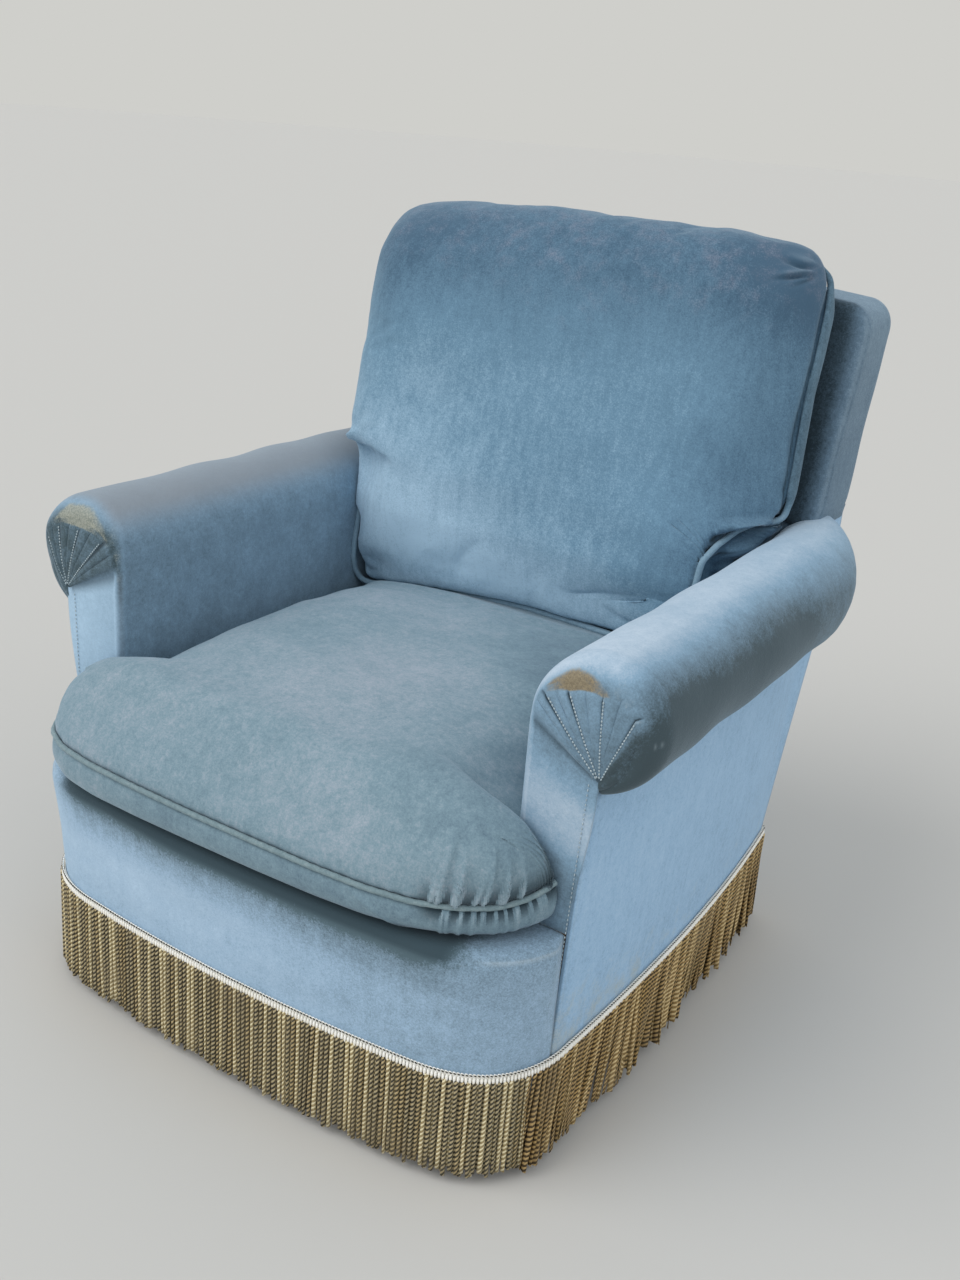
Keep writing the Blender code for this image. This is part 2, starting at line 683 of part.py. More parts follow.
def make_back_covers():
    centre_x = BACK_HALF_WIDTH - BACK_CORNER
    centre_z = back_top(centre_x) - BACK_CORNER
    half = [(x, back_top(x)) for x in spaced(0.0, centre_x, 5)]
    for angle in spaced(math.pi / 2, 0.0, 6)[1:]:
        half.append((centre_x + BACK_CORNER * math.cos(angle), centre_z + BACK_CORNER * math.sin(angle)))
    half += [(BACK_HALF_WIDTH, z) for z in (0.750, 0.670, BACK_SHOULDER)]
    path = [(-x, z) for x, z in reversed(half[1:])] + half
    rows = [[(x, face_depth(z) + share * (rear_depth(z) - face_depth(z)), z) for x, z in path] for share in (0, 1)]
    sheet("back_border", rows, CLOTH, "velvet")

    inner = BACK_HALF_WIDTH - CLOTH - 2 * GAP
    neck = ARM_INSIDE - 3 * GAP
    xs = (-inner, -0.300, -neck, 0.0, neck, 0.300, inner)
    rows = []
    for z in (0.2925, 0.400, 0.500, BACK_SHOULDER + GAP, 0.700, 0.790, 0.8415):
        heights = [min(z, 0.820 if abs(x) > 0.31 else z) for x in xs]
        rows.append([(x, face_depth(h), h) for x, h in zip(xs, heights)])
    sheet("back_inside_cover", rows, CLOTH, "velvet", keep=lambda r, c: r >= 3 or c in (2, 3))
    xs = (0.3270, 0.300, 0.0, -0.300, -0.3270)
    rows = []
    for z in (RAIL_BOTTOM, 0.250, 0.400, 0.550, 0.700, 0.790, 0.8415):
        heights = [min(z, 0.820 if abs(x) > 0.31 else z) for x in xs]
        rows.append([(x, rear_depth(h), h) for x, h in zip(xs, heights)])
    sheet("back_outside_cover", rows, CLOTH, "velvet")

    rings = []
    levels = [(0.2925, neck - 0.001), (0.430, neck - 0.001), (BACK_SHOULDER + GAP, neck - 0.001)]
    levels += [(BACK_SHOULDER + 2 * GAP, inner + GAP), (0.700, inner + GAP), (0.813, inner + GAP), (0.831, 0.322)]
    for z, half_width in levels:
        front = face_depth(z) + CLOTH + 2 * GAP
        rear = post_front_depth(z) - 0.0020 - 4 * GAP
        rings.append([(-half_width, front, z), (half_width, front, z), (half_width, rear, z), (-half_width, rear, z)])
    loft("back_stuffing", rings, "hair_stuffing")


# Fringe


def base_whole_half():
    """Half the plan of the base with its rear corner and rear side."""
    rear = rear_depth(TRIM_TOP) + 2 * GAP
    half = base_half_outline(rear)
    return half + [(0.150, rear), (0.0, rear)]


def make_fringe():
    half = base_whole_half()
    loop = [(-x, depth) for x, depth in reversed(half[1:-1])] + half
    top, bottom = TRIM_TOP, FRINGE_BOTTOM
    heading = top - HEADING_HEIGHT
    inner = 0.0009
    section = [(inner, top), (HEADING_THICKNESS, top), (HEADING_THICKNESS, heading)]
    section += [(SKIRT_THICKNESS, heading - 0.003), (SKIRT_THICKNESS + 0.002, bottom)]
    section += [(0.002, bottom), (inner, heading - 0.003)]
    whole = loop + loop + loop
    moved = {d: offset_path(whole, d) for d, z in section}
    count = len(loop)
    split_front = next(i for i, (x, depth) in enumerate(half) if depth > -0.035)
    split_rear = len(half) - 4
    middle = count + len(half) - 2
    cuts = {
        "front": (middle - split_front, middle + split_front),
        "right": (middle + split_front, middle + split_rear),
        "back": (middle + split_rear, middle + count - split_rear),
        "left": (middle + count - split_rear, middle + count - split_front),
    }
    for name, (start, stop) in cuts.items():
        rings = []
        for i in range(start, stop + 1):
            ring = [(*moved[d][i], z) for d, z in section]
            if i in (start, stop):
                near = i + (1 if i == start else -1)
                other = [(*moved[d][near], z) for d, z in section]
                ring = [
                    tuple(a + (b - a) * 0.012 for a, b in zip(point, goal))
                    for point, goal in zip(ring, other)
                ]
            rings.append(ring)
        loft(f"fringe_{name}", rings, "fringe_cotton")


# Cushions


def padded_ring(half_width, low, seam, high, count=28, fullness=0.40):
    """A cushion's section as (across, up), with a full top and bottom that meet in a seam at each side."""
    points = []
    for i in range(count):
        angle = 2 * math.pi * i / count
        side, rise = math.cos(angle), math.sin(angle)
        across = half_width * math.copysign(abs(side) ** fullness, side)
        reach = (high - seam) if rise > 0 else (seam - low)
        points.append((across, seam + reach * math.copysign(abs(rise) ** 0.72, rise)))
    return points


def seat_ears():
    """The front of the seat cushion, wider than the space between the arms: (half width, depth, fullness)."""
    rear = -0.0055
    ears = []
    for depth in [SEAT_FRONT_DEPTH + run for run in (0.0, 0.003, 0.012, 0.028, 0.050, 0.078, 0.100)] + [rear]:
        missing = 1 - min((depth - SEAT_FRONT_DEPTH) / SEAT_CORNER, 1.0)
        half_width = SEAT_EAR_HALF_WIDTH - SEAT_CORNER * (1 - math.sqrt(1 - missing**2))
        near_arm = max(1 - (rear - depth) / 0.020, 0.0)
        ears.append((half_width - 0.014 * near_arm**2, depth, math.sqrt(1 - 0.985 * missing**2)))
    return ears


def make_seat_cushion():
    low = DECK_TOP + GAP
    full = SEAT_CROWN_Z - 0.008 - SEAT_SEAM_Z
    rings = []
    for half_width, depth, fullness in seat_ears():
        base = SEAT_SEAM_Z - (SEAT_SEAM_Z - low) * fullness
        rings.append((half_width, depth, base, SEAT_SEAM_Z + full * fullness))
    body = [(-0.0040, 0.430), (0.100, 0.437), (0.220, SEAT_CROWN_Z), (0.340, 0.430)]
    body += [(0.440, BACK_CUSHION_BOTTOM - GAP), (0.470, BACK_CUSHION_BOTTOM - GAP), (SEAT_REAR_DEPTH, 0.395)]
    rings += [(SEAT_BODY_HALF_WIDTH, depth, low, crown) for depth, crown in body]
    rings.append((SEAT_BODY_HALF_WIDTH - 0.012, SEAT_REAR_DEPTH + 0.012, SEAT_SEAM_Z - 0.020, 0.360))
    solid = []
    for half_width, depth, base, crown in rings:
        ring = padded_ring(half_width, base, SEAT_SEAM_Z, crown)
        solid.append([(x, depth, z) for x, z in ring])
    loft("seat_cushion", solid, "velvet")

    edge = [(0.0, SEAT_FRONT_DEPTH)] + [(half_width, depth) for half_width, depth, _ in seat_ears()[:-1]]
    path = mirrored_path(offset_path(edge, PIPING_RADIUS + GAP))
    tube("seat_cushion_piping", [(x, depth, SEAT_SEAM_Z) for x, depth in path], PIPING_RADIUS, "piping_velvet")


def back_cushion_levels():
    """The back cushion from its bottom up: (z, half width, fullness)."""
    step = BACK_EAR_UNDERSIDE
    ear, body, top = BACK_EAR_HALF_WIDTH, BACK_BODY_HALF_WIDTH, BACK_CUSHION_TOP
    levels = [(BACK_CUSHION_BOTTOM, body - 0.030, 0.55), (0.4260, body - 0.004, 0.86), (0.4450, body, 1.0)]
    levels += [(0.520, body, 1.0), (step - 0.0015, body, 1.0), (step, ear - 0.008, 1.0), (0.612, ear, 1.0)]
    levels += [(0.700, ear, 1.0), (0.790, ear, 1.0), (top - 0.062, ear, 0.98), (top - 0.032, ear - 0.004, 0.88)]
    return levels + [(top - 0.013, ear - 0.012, 0.70), (top - 0.004, ear - 0.024, 0.48), (top, ear - 0.040, 0.22)]


def back_cushion_point(x, share, z, fullness):
    """A point of the back cushion: share runs from 0 at its seam to 1 at its back and -1 at its front."""
    rise = (z - BACK_CUSHION_BOTTOM) / (BACK_CUSHION_TOP - BACK_CUSHION_BOTTOM)
    thickness = 0.125 + 0.050 * math.sin(math.pi / 2 * min(rise / 0.35, 1.0))
    part = BACK_SEAM_SHARE if share > 0 else 1 - BACK_SEAM_SHARE
    from_back = thickness * (BACK_SEAM_SHARE - share * part * fullness)
    from_back *= 1 - BACK_CUSHION_SKEW * x / BACK_EAR_HALF_WIDTH
    moved = BACK_EAR_LEAN * (z - 0.550) if z >= BACK_EAR_UNDERSIDE else 0.0
    return x + moved, face_depth(z) - 2 * GAP - from_back, z


def make_back_cushion():
    rings = []
    for z, half_width, fullness in back_cushion_levels():
        ring = padded_ring(half_width, -1.0, 0.0, 1.0)
        rings.append([back_cushion_point(x, share, z, fullness) for x, share in ring])
    loft("back_cushion", rings, "velvet")

    turned = [(0.0, BACK_CUSHION_TOP)]
    turned += [(level[1], 2 * BACK_CUSHION_TOP - level[0]) for level in reversed(back_cushion_levels())]
    turned = [point for point in turned if point[1] < 2 * BACK_CUSHION_TOP - 0.650]
    clear = mirrored_path(offset_path(turned, PIPING_RADIUS + 2 * GAP))
    path = [back_cushion_point(x, 0.0, 2 * BACK_CUSHION_TOP - height, 1.0) for x, height in clear]
    tube("back_cushion_piping", path, PIPING_RADIUS, "piping_velvet")


clear_scene()
parts = collection_named("old_armchair")
make_rails()
make_back_posts()
make_arm_frame()
make_corner_blocks()
make_feet()
make_webbing()
make_springs()
make_seat_layers()
make_arm_covers()
make_front_and_deck_covers()
make_back_covers()
make_fringe()
make_seat_cushion()
make_back_cushion()
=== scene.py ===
import math

import bmesh
import bpy
import numpy as np
from mathutils import Matrix, Vector, kdtree
from mathutils.bvhtree import BVHTree


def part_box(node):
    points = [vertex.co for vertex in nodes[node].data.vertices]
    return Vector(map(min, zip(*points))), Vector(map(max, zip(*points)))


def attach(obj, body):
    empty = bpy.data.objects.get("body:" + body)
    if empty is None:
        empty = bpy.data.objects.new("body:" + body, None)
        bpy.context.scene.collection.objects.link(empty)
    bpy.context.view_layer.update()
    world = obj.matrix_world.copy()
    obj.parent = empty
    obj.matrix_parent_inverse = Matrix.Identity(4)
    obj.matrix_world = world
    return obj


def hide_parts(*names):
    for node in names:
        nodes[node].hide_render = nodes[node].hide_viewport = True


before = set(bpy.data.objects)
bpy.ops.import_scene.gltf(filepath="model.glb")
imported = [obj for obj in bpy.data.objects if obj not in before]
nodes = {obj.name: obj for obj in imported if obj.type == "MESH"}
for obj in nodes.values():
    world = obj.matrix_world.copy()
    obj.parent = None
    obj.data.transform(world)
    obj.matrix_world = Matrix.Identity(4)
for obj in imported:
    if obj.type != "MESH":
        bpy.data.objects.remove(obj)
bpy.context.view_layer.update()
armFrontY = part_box("arm_front_cover_right")[0].y  # depths count back from here
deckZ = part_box("deck_cover")[1].z
gap = 0.0006

base = {
    "halfWidth": 0.354,
    "widestDepth": 0.25,
    # how much narrower half of it is towards the front and the rear, and over what length
    "frontTaper": (0.006, 0.22),
    "rearTaper": (0.023, 0.36),
    "bowDepth": -0.1085,
    "bowHalfWidth": 0.235,
    "bowSag": 0.0125,
    "sideStart": 0.03,
    "bottom": 0.100,
    "trimTop": 0.142,
    "panelLean": 0.035,
    # depths by height: the rear from the foot up, and the face of the chair back
    "rearLine": (0.602, 0.20, 0.055),
    "faceLine": (0.6142, 0.30, 0.60),
}


# ---- small helpers


def yAt(depth):
    return armFrontY + depth


def smoothStep(low, high, value):
    share = np.clip((np.asarray(value, float) - low) / (high - low), 0, 1)
    return share * share * (3 - 2 * share)


def ripples(points, waveLength, seed, waves=7):
    random = np.random.default_rng(seed)
    total = np.zeros(len(points))
    for _ in range(waves):
        direction = random.normal(size=3)
        direction /= np.linalg.norm(direction)
        length = waveLength * random.uniform(0.7, 1.5)
        total += np.sin(points @ direction * math.tau / length + random.uniform(0, math.tau))
    return total / math.sqrt(waves)


def arcLengths(points):
    steps = np.linalg.norm(np.diff(points, axis=0), axis=1)
    return np.concatenate([[0.0], np.cumsum(steps)])


def resample(points, count):
    points = np.asarray(points, float)
    along = arcLengths(points)
    wanted = np.linspace(0, along[-1], count)
    return np.stack([np.interp(wanted, along, column) for column in points.T], axis=1)


def smoothed(points, rounds, closed=False):
    points = np.array(points, float)
    for _ in range(rounds):
        if closed:
            points = (np.roll(points, 1, 0) + 2 * points + np.roll(points, -1, 0)) / 4
        else:
            points[1:-1] = (points[:-2] + 2 * points[1:-1] + points[2:]) / 4
    return points


def offsetPath(points, distance):  # a plan path that runs anticlockwise moves outwards
    points = np.asarray(points, float)
    runs = np.diff(points, axis=0)
    normals = np.stack([runs[:, 1], -runs[:, 0]], axis=1)
    normals /= np.linalg.norm(normals, axis=1)[:, None]
    both = np.concatenate([normals[:1], normals]) + np.concatenate([normals, normals[-1:]])
    return points + both * (2 * distance / (both**2).sum(axis=1))[:, None]


def baseHalfWidth(depth):
    lost, length = base["rearTaper" if depth > base["widestDepth"] else "frontTaper"]
    return base["halfWidth"] - lost * ((depth - base["widestDepth"]) / length) ** 2


def baseHalf(rear, steps=24):
    # half the plan of the covered base as (x, depth), from the middle of the front
    half, sag = base["bowHalfWidth"], base["bowSag"]
    points = [(x, base["bowDepth"] + sag * (x / half) ** 2) for x in np.linspace(0, half, steps)]
    start, end = points[-1], (baseHalfWidth(base["sideStart"]), base["sideStart"])
    reach = end[0] - 0.001 - start[0]
    corner = (start[0] + reach, start[1] + 2 * sag / half * reach)
    for t in np.linspace(0, 1, steps)[1:]:
        near, bent, far = (1 - t) ** 2, 2 * t * (1 - t), t * t
        points.append([near * a + bent * b + far * c for a, b, c in zip(start, corner, end)])
    for depth in np.linspace(base["sideStart"], rear, steps)[1:]:
        points.append((baseHalfWidth(depth), depth))
    return np.array(points, float)


def mirrored(half):  # a whole path from half of one that starts on the mirror plane
    left = half[:0:-1] * np.array([-1.0] + [1.0] * (half.shape[1] - 1))
    return np.concatenate([left, half])


def outlineX(depth):
    half = baseHalf(0.7)
    side = half[half[:, 0] > base["bowHalfWidth"]]
    return float(np.interp(depth, side[:, 1], side[:, 0]))


def panelX(depth, z):
    return outlineX(depth) + base["panelLean"] * max(z - base["trimTop"], 0.0)


def rearDepth(z):
    start, lean, bend = base["rearLine"]
    rise = z - base["bottom"]
    return start + lean * rise + bend * rise * rise


def faceDepth(z):
    start, lean, height = base["faceLine"]
    return start + lean * (z - height)


def newObject(name, mesh):
    obj = bpy.data.objects.new(name, mesh)
    bpy.context.scene.collection.objects.link(obj)
    return obj


def gridObject(name, rows, closed=False, caps=(False, False), flip=False, marks=None):
    rows = np.asarray(rows, float)
    count, width = rows.shape[:2]
    shape = bmesh.new()
    layers = {key: shape.verts.layers.float.new(key) for key in (marks or {})}
    verts = [[shape.verts.new(point) for point in row] for row in rows]
    for key, layer in layers.items():
        for row, values in zip(verts, np.broadcast_to(marks[key], (count, width))):
            for vert, value in zip(row, values):
                vert[layer] = value
    for row, following in zip(verts, verts[1:]):
        for c in range(width if closed else width - 1):
            d = (c + 1) % width
            shape.faces.new((row[c], row[d], following[d], following[c]))
    for wanted, row in zip(caps, (verts[0], verts[-1])):
        if wanted:
            middle = shape.verts.new(np.mean([v.co for v in row], axis=0))
            for c in range(width):
                shape.faces.new((row[c], row[(c + 1) % width], middle))
    bmesh.ops.remove_doubles(shape, verts=shape.verts, dist=2e-5)
    if any(caps):
        bmesh.ops.recalc_face_normals(shape, faces=shape.faces)
    elif flip:
        bmesh.ops.reverse_faces(shape, faces=shape.faces)
    mesh = bpy.data.meshes.new(name)
    shape.to_mesh(mesh)
    shape.free()
    return newObject(name, mesh)


def mark(obj, key, values):  # "tone": pile laid dark or pale, with painted shade and painted light in places; "soil": dirt; the third mark: creases, seams and cloth under overhangs darkened as painted shade, rubbed edges, and painted highlights beside pleats and on ridges
    held = obj.data.attributes.get(key) or obj.data.attributes.new(key, "FLOAT", "POINT")
    held.data.foreach_set("value", np.asarray(values, np.float32))


def spotOn(points, centre, radii):  # soft round share about a place given as x, depth, z
    place = np.array([centre[0], yAt(centre[1]), centre[2]])
    return np.exp(-((((points - place) / np.array(radii)) ** 2).sum(axis=1)))


def settled(obj):  # the evaluated mesh takes the place of the modifiers
    bpy.context.view_layer.update()
    evaluated = obj.evaluated_get(bpy.context.evaluated_depsgraph_get())
    mesh = bpy.data.meshes.new_from_object(evaluated)
    obj.modifiers.clear()
    obj.data = mesh
    return obj


def thickened(obj, thickness):
    wall = obj.modifiers.new("cloth thickness", "SOLIDIFY")
    wall.thickness = thickness
    wall.offset = -1.0
    return settled(obj)


def pointsOf(obj):
    points = np.empty(len(obj.data.vertices) * 3)
    obj.data.vertices.foreach_get("co", points)
    return points.reshape(-1, 3)


def normalsOf(obj):
    normals = np.empty(len(obj.data.vertices) * 3)
    obj.data.vertices.foreach_get("normal", normals)
    return normals.reshape(-1, 3)


def place(obj, points):
    obj.data.vertices.foreach_set("co", np.asarray(points, float).ravel())
    obj.data.update()


def finishPiece(obj, material, replaces=()):
    obj.data.materials.clear()
    obj.data.materials.append(material)
    obj.data.polygons.foreach_set("use_smooth", [True] * len(obj.data.polygons))
    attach(obj, "root")
    if replaces:
        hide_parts(*replaces)
    return obj


# ---- materials


def paint(hexColour):  # sRGB hex to linear
    channels = [int(hexColour[i : i + 2], 16) / 255 for i in (1, 3, 5)]
    return [c / 12.92 if c <= 0.04045 else ((c + 0.055) / 1.055) ** 2.4 for c in channels] + [1.0]


def addNode(tree, kind, inputs=None, output=0, **settings):
    # gives back the output that the next node takes, or with output=None the node itself
    node = tree.nodes.new(kind)
    for key, value in settings.items():
        setattr(node, key, value)
    for key, value in (inputs or {}).items():
        socket = node.inputs[key]
        if isinstance(value, bpy.types.NodeSocket):
            tree.links.new(value, socket)
        else:
            socket.default_value = value
    return node if output is None else node.outputs[output]


def newMaterial(name, finish):
    material = bpy.data.materials.new(name)
    material.use_nodes = True
    tree = material.node_tree
    shader = tree.nodes["Principled BSDF"]
    for key, value in finish.items():
        shader.inputs[key].default_value = value
    return material, tree, shader


pileFinish = {
    "Roughness": 0.9,
    "Specular IOR Level": 0.15,
    "Sheen Roughness": 0.42,
    "Sheen Tint": paint("#c9dcea"),
}
# the cloth's own grain, from hand-wide patches down to the pile, which is drawn coarse so that it shows:
# copies per metre, detail, roughness, how strongly it shows
clothGrain = {
    "patches": (8, 3.0, 0.55, 0.9),
    "clouds": (42, 3.0, 0.6, 0.5),
    "streaks": (1, 3.0, 0.6, 0.6),  # drawn out along the pile
    "nap": (170, 3.0, 0.7, 1.1),
    "pile": (480, 2.0, 0.9, 1.3),
}
streakScale = (90, 90, 9)


def velvet(name, look):
    # cotton velvet, cut pile: matt and speckled, pale where it is brushed over, a soft sheen at the edges;
    # the marks it reads also paint shade and light into the colour
    material, tree, shader = newMaterial(name, {**pileFinish, "Sheen Weight": look.get("sheen", 0.45)})
    where = addNode(tree, "ShaderNodeTexCoord", output="Object")
    drawn = addNode(tree, "ShaderNodeMapping", {"Vector": where, "Scale": streakScale})
    tone = addNode(tree, "ShaderNodeAttribute", output="Fac", attribute_name="tone")
    soil = addNode(tree, "ShaderNodeAttribute", output="Fac", attribute_name="soil")
    wear = addNode(tree, "ShaderNodeAttribute", output="Fac", attribute_name="wear")
    grain, level, middle = {}, tone, 0.0
    for key, (scale, detail, roughness, amount) in clothGrain.items():
        vector = drawn if key == "streaks" else where
        inputs = {"Vector": vector, "Scale": scale, "Detail": detail, "Roughness": roughness}
        grain[key] = addNode(tree, "ShaderNodeTexNoise", inputs)
        amount = look.get(key, amount)
        level = {0: grain[key], 1: amount, 2: level}
        level = addNode(tree, "ShaderNodeMath", level, operation="MULTIPLY_ADD")
        middle += amount / 2
    # dirt gathers in flecks, and only where the cloth is marked as soiled
    flecks = addNode(tree, "ShaderNodeMath", {0: grain["clouds"], 1: 1.1, 2: soil}, operation="MULTIPLY_ADD")
    flecks = addNode(tree, "ShaderNodeMath", {0: grain["pile"], 1: 0.6, 2: flecks}, operation="MULTIPLY_ADD")
    most = {0: soil, 2: 0.15, 4: look.get("soiling", 0.9)}
    most = addNode(tree, "ShaderNodeMapRange", most, interpolation_type="SMOOTHSTEP")
    dirty = {0: flecks, 1: 1.0, 2: 1.7, 4: most}
    dirty = addNode(tree, "ShaderNodeMapRange", dirty, interpolation_type="SMOOTHSTEP")
    onPile = {0: grain["pile"], 1: 0.3, 2: 0.7}
    onPile = addNode(tree, "ShaderNodeMapRange", onPile, interpolation_type="SMOOTHSTEP")
    dirt = {0: onPile, 6: paint(look.get("soilDark", "#6a6a5c")), 7: paint(look.get("soil", "#9a927a"))}
    dirt = addNode(tree, "ShaderNodeMix", dirt, 2, data_type="RGBA")
    colour = paint(look["shade"])
    for source, start, end, kind, other in (
        (level, middle - 1, middle, "LINEAR", paint(look["mid"])),
        (level, middle, middle + 1, "LINEAR", paint(look["pale"])),
        (dirty, 0.0, 1.0, "LINEAR", dirt),
        (wear, 0.0, -1.0, "SMOOTHSTEP", paint("#26343c")),  # painted shade in creases, seams and under overhangs
        # pale where rubbed, and painted highlights beside pleats, on ridges and along edges
        (wear, 0.0, 1.0, "SMOOTHSTEP", paint(look.get("rubbed", "#b9c9d2"))),
    ):
        share = addNode(tree, "ShaderNodeMapRange", {0: source, 1: start, 2: end}, interpolation_type=kind)
        colour = addNode(tree, "ShaderNodeMix", {0: share, 6: colour, 7: other}, 2, data_type="RGBA")
    tree.links.new(colour, shader.inputs["Base Color"])
    height = {0: grain["clouds"], 1: 1.5, 2: grain["pile"]}
    height = addNode(tree, "ShaderNodeMath", height, operation="MULTIPLY_ADD")
    bump = addNode(tree, "ShaderNodeBump", {"Strength": 0.5, "Distance": 0.0008, "Height": height})
    tree.links.new(bump, shader.inputs["Normal"])
    return material


# ---- the view and the light

view = {
    "place": (0.862, 1.058, 1.068),  # x, distance in front of the arms, height
    "azimuth": 31.35,
    "elevation": 21.87,
    "roll": 4.72,
    "lens": 38.7,
}


def makeCamera(look):
    camera = bpy.data.cameras.new("view")
    camera.lens = look["lens"]
    camera.sensor_width = 36.0
    obj = newObject("view", camera)
    azimuth, elevation, roll = (math.radians(look[key]) for key in ("azimuth", "elevation", "roll"))
    level = math.cos(elevation)
    back = Vector((math.sin(azimuth) * level, -math.cos(azimuth) * level, math.sin(elevation)))
    right = (-back).cross(Vector((0, 0, 1))).normalized()
    up = right.cross(-back)
    across = right * math.cos(roll) + up * math.sin(roll)
    upright = up * math.cos(roll) - right * math.sin(roll)
    x, forward, height = look["place"]
    turn = Matrix((across, upright, back)).transposed().to_4x4()
    obj.matrix_world = Matrix.Translation((x, yAt(-forward), height)) @ turn
    bpy.context.scene.camera = obj


light = {
    "sky": 0.70,
    "skyColour": (0.93, 0.97, 1.0, 1),
    "backdrop": "#cfcfcb",
    "floor": "#c9c7c3",
    "floorRadius": 30.0,
    # strength, where it comes from, breadth in degrees, colour
    "suns": {
        "key": (1.35, (-0.75, -0.95, 1.15), 50, (1.0, 0.99, 0.97)),
        "fill": (0.55, (1.3, -0.6, 0.8), 80, (0.96, 0.98, 1.0)),
    },
}


def makeStudio(look):
    scene = bpy.context.scene
    scene.view_settings.view_transform = "Standard"
    world = bpy.data.worlds.new("studio")
    scene.world = world
    world.use_nodes = True
    tree = world.node_tree
    tree.nodes.clear()
    path = addNode(tree, "ShaderNodeLightPath", output=None).outputs
    seen = 0.0
    for ray in ("Is Camera Ray", "Is Glossy Ray", "Is Transmission Ray"):
        seen = addNode(tree, "ShaderNodeMath", {0: seen, 1: path[ray]}, operation="MAXIMUM")
    sky = addNode(tree, "ShaderNodeBackground", {"Color": look["skyColour"], "Strength": look["sky"]})
    pale = addNode(tree, "ShaderNodeBackground", {"Color": paint(look["backdrop"]), "Strength": 1.0})
    mix = addNode(tree, "ShaderNodeMixShader", {0: seen, 1: sky, 2: pale})
    addNode(tree, "ShaderNodeOutputWorld", {"Surface": mix}, None)
    # two broad suns: the floor stays evenly pale out to the horizon
    for name, (strength, towards, breadth, colour) in look["suns"].items():
        lamp = bpy.data.lights.new(name, "SUN")
        lamp.energy, lamp.angle, lamp.color = strength, math.radians(breadth), colour
        newObject(name, lamp).rotation_euler = Vector(towards).to_track_quat("Z", "Y").to_euler()
    ground = bmesh.new()
    bmesh.ops.create_circle(ground, cap_ends=True, radius=look["floorRadius"], segments=64)
    mesh = bpy.data.meshes.new("floor")
    ground.to_mesh(mesh)
    ground.free()
    # matt floor paint: even and pale, so that only the chair's shadow shows
    material = newMaterial("pale matt floor paint", {"Base Color": paint(look["floor"]), "Roughness": 0.8})[0]
    mesh.materials.append(material)
    newObject("floor", mesh)


makeCamera(view)
makeStudio(light)
print("camera and studio ready")


# ---- arms

arm = {
    "inside": 0.280,
    "rollX": 0.349,
    "rollZ": 0.518,
    "radius": 0.068,
    "endDepth": 0.500,  # from here the roll grows thinner towards the rear
    "endLength": 0.140,
    "endLoss": 0.042,
    "underside": -78.0,  # degrees
    "front": 0.0010,  # how far the fan lies behind the rail line
    "clothThickness": 0.0022,
    "pleatDepth": 0.0036,
    "grooveDepth": 0.0012,
    "grooves": (0.55, 1.0, 1.15, 1.3, 1.2),  # how deep each pleat is sewn, from the inner one
    "shine": (0.25, 0.25, 0.45, 0.45, 0.45),  # how pale the cloth beside it is: rubbed, and a painted highlight
    "panelColumns": 26,
    "rollColumns": 230,
    "frontRows": 46,
    "noseRows": 20,
    "bodyRows": 44,
    "endRows": (0.12, 0.24, 0.36, 0.48, 0.60, 0.70, 0.78, 0.85, 0.90, 0.94, 0.97, 0.99),
}
# how far the front edge is turned in, round the roll: degrees, inset, length
noseTurns = (
    (-78, 0.0060, 0.012),
    (-50, 0.0150, 0.022),
    (-22, 0.0240, 0.030),
    (0, 0.0230, 0.031),
    (26, 0.0190, 0.031),
    (83, 0.0267, 0.030),
    (124, 0.0210, 0.027),
    (157, 0.0085, 0.014),
    (180, 0.0065, 0.008),
)
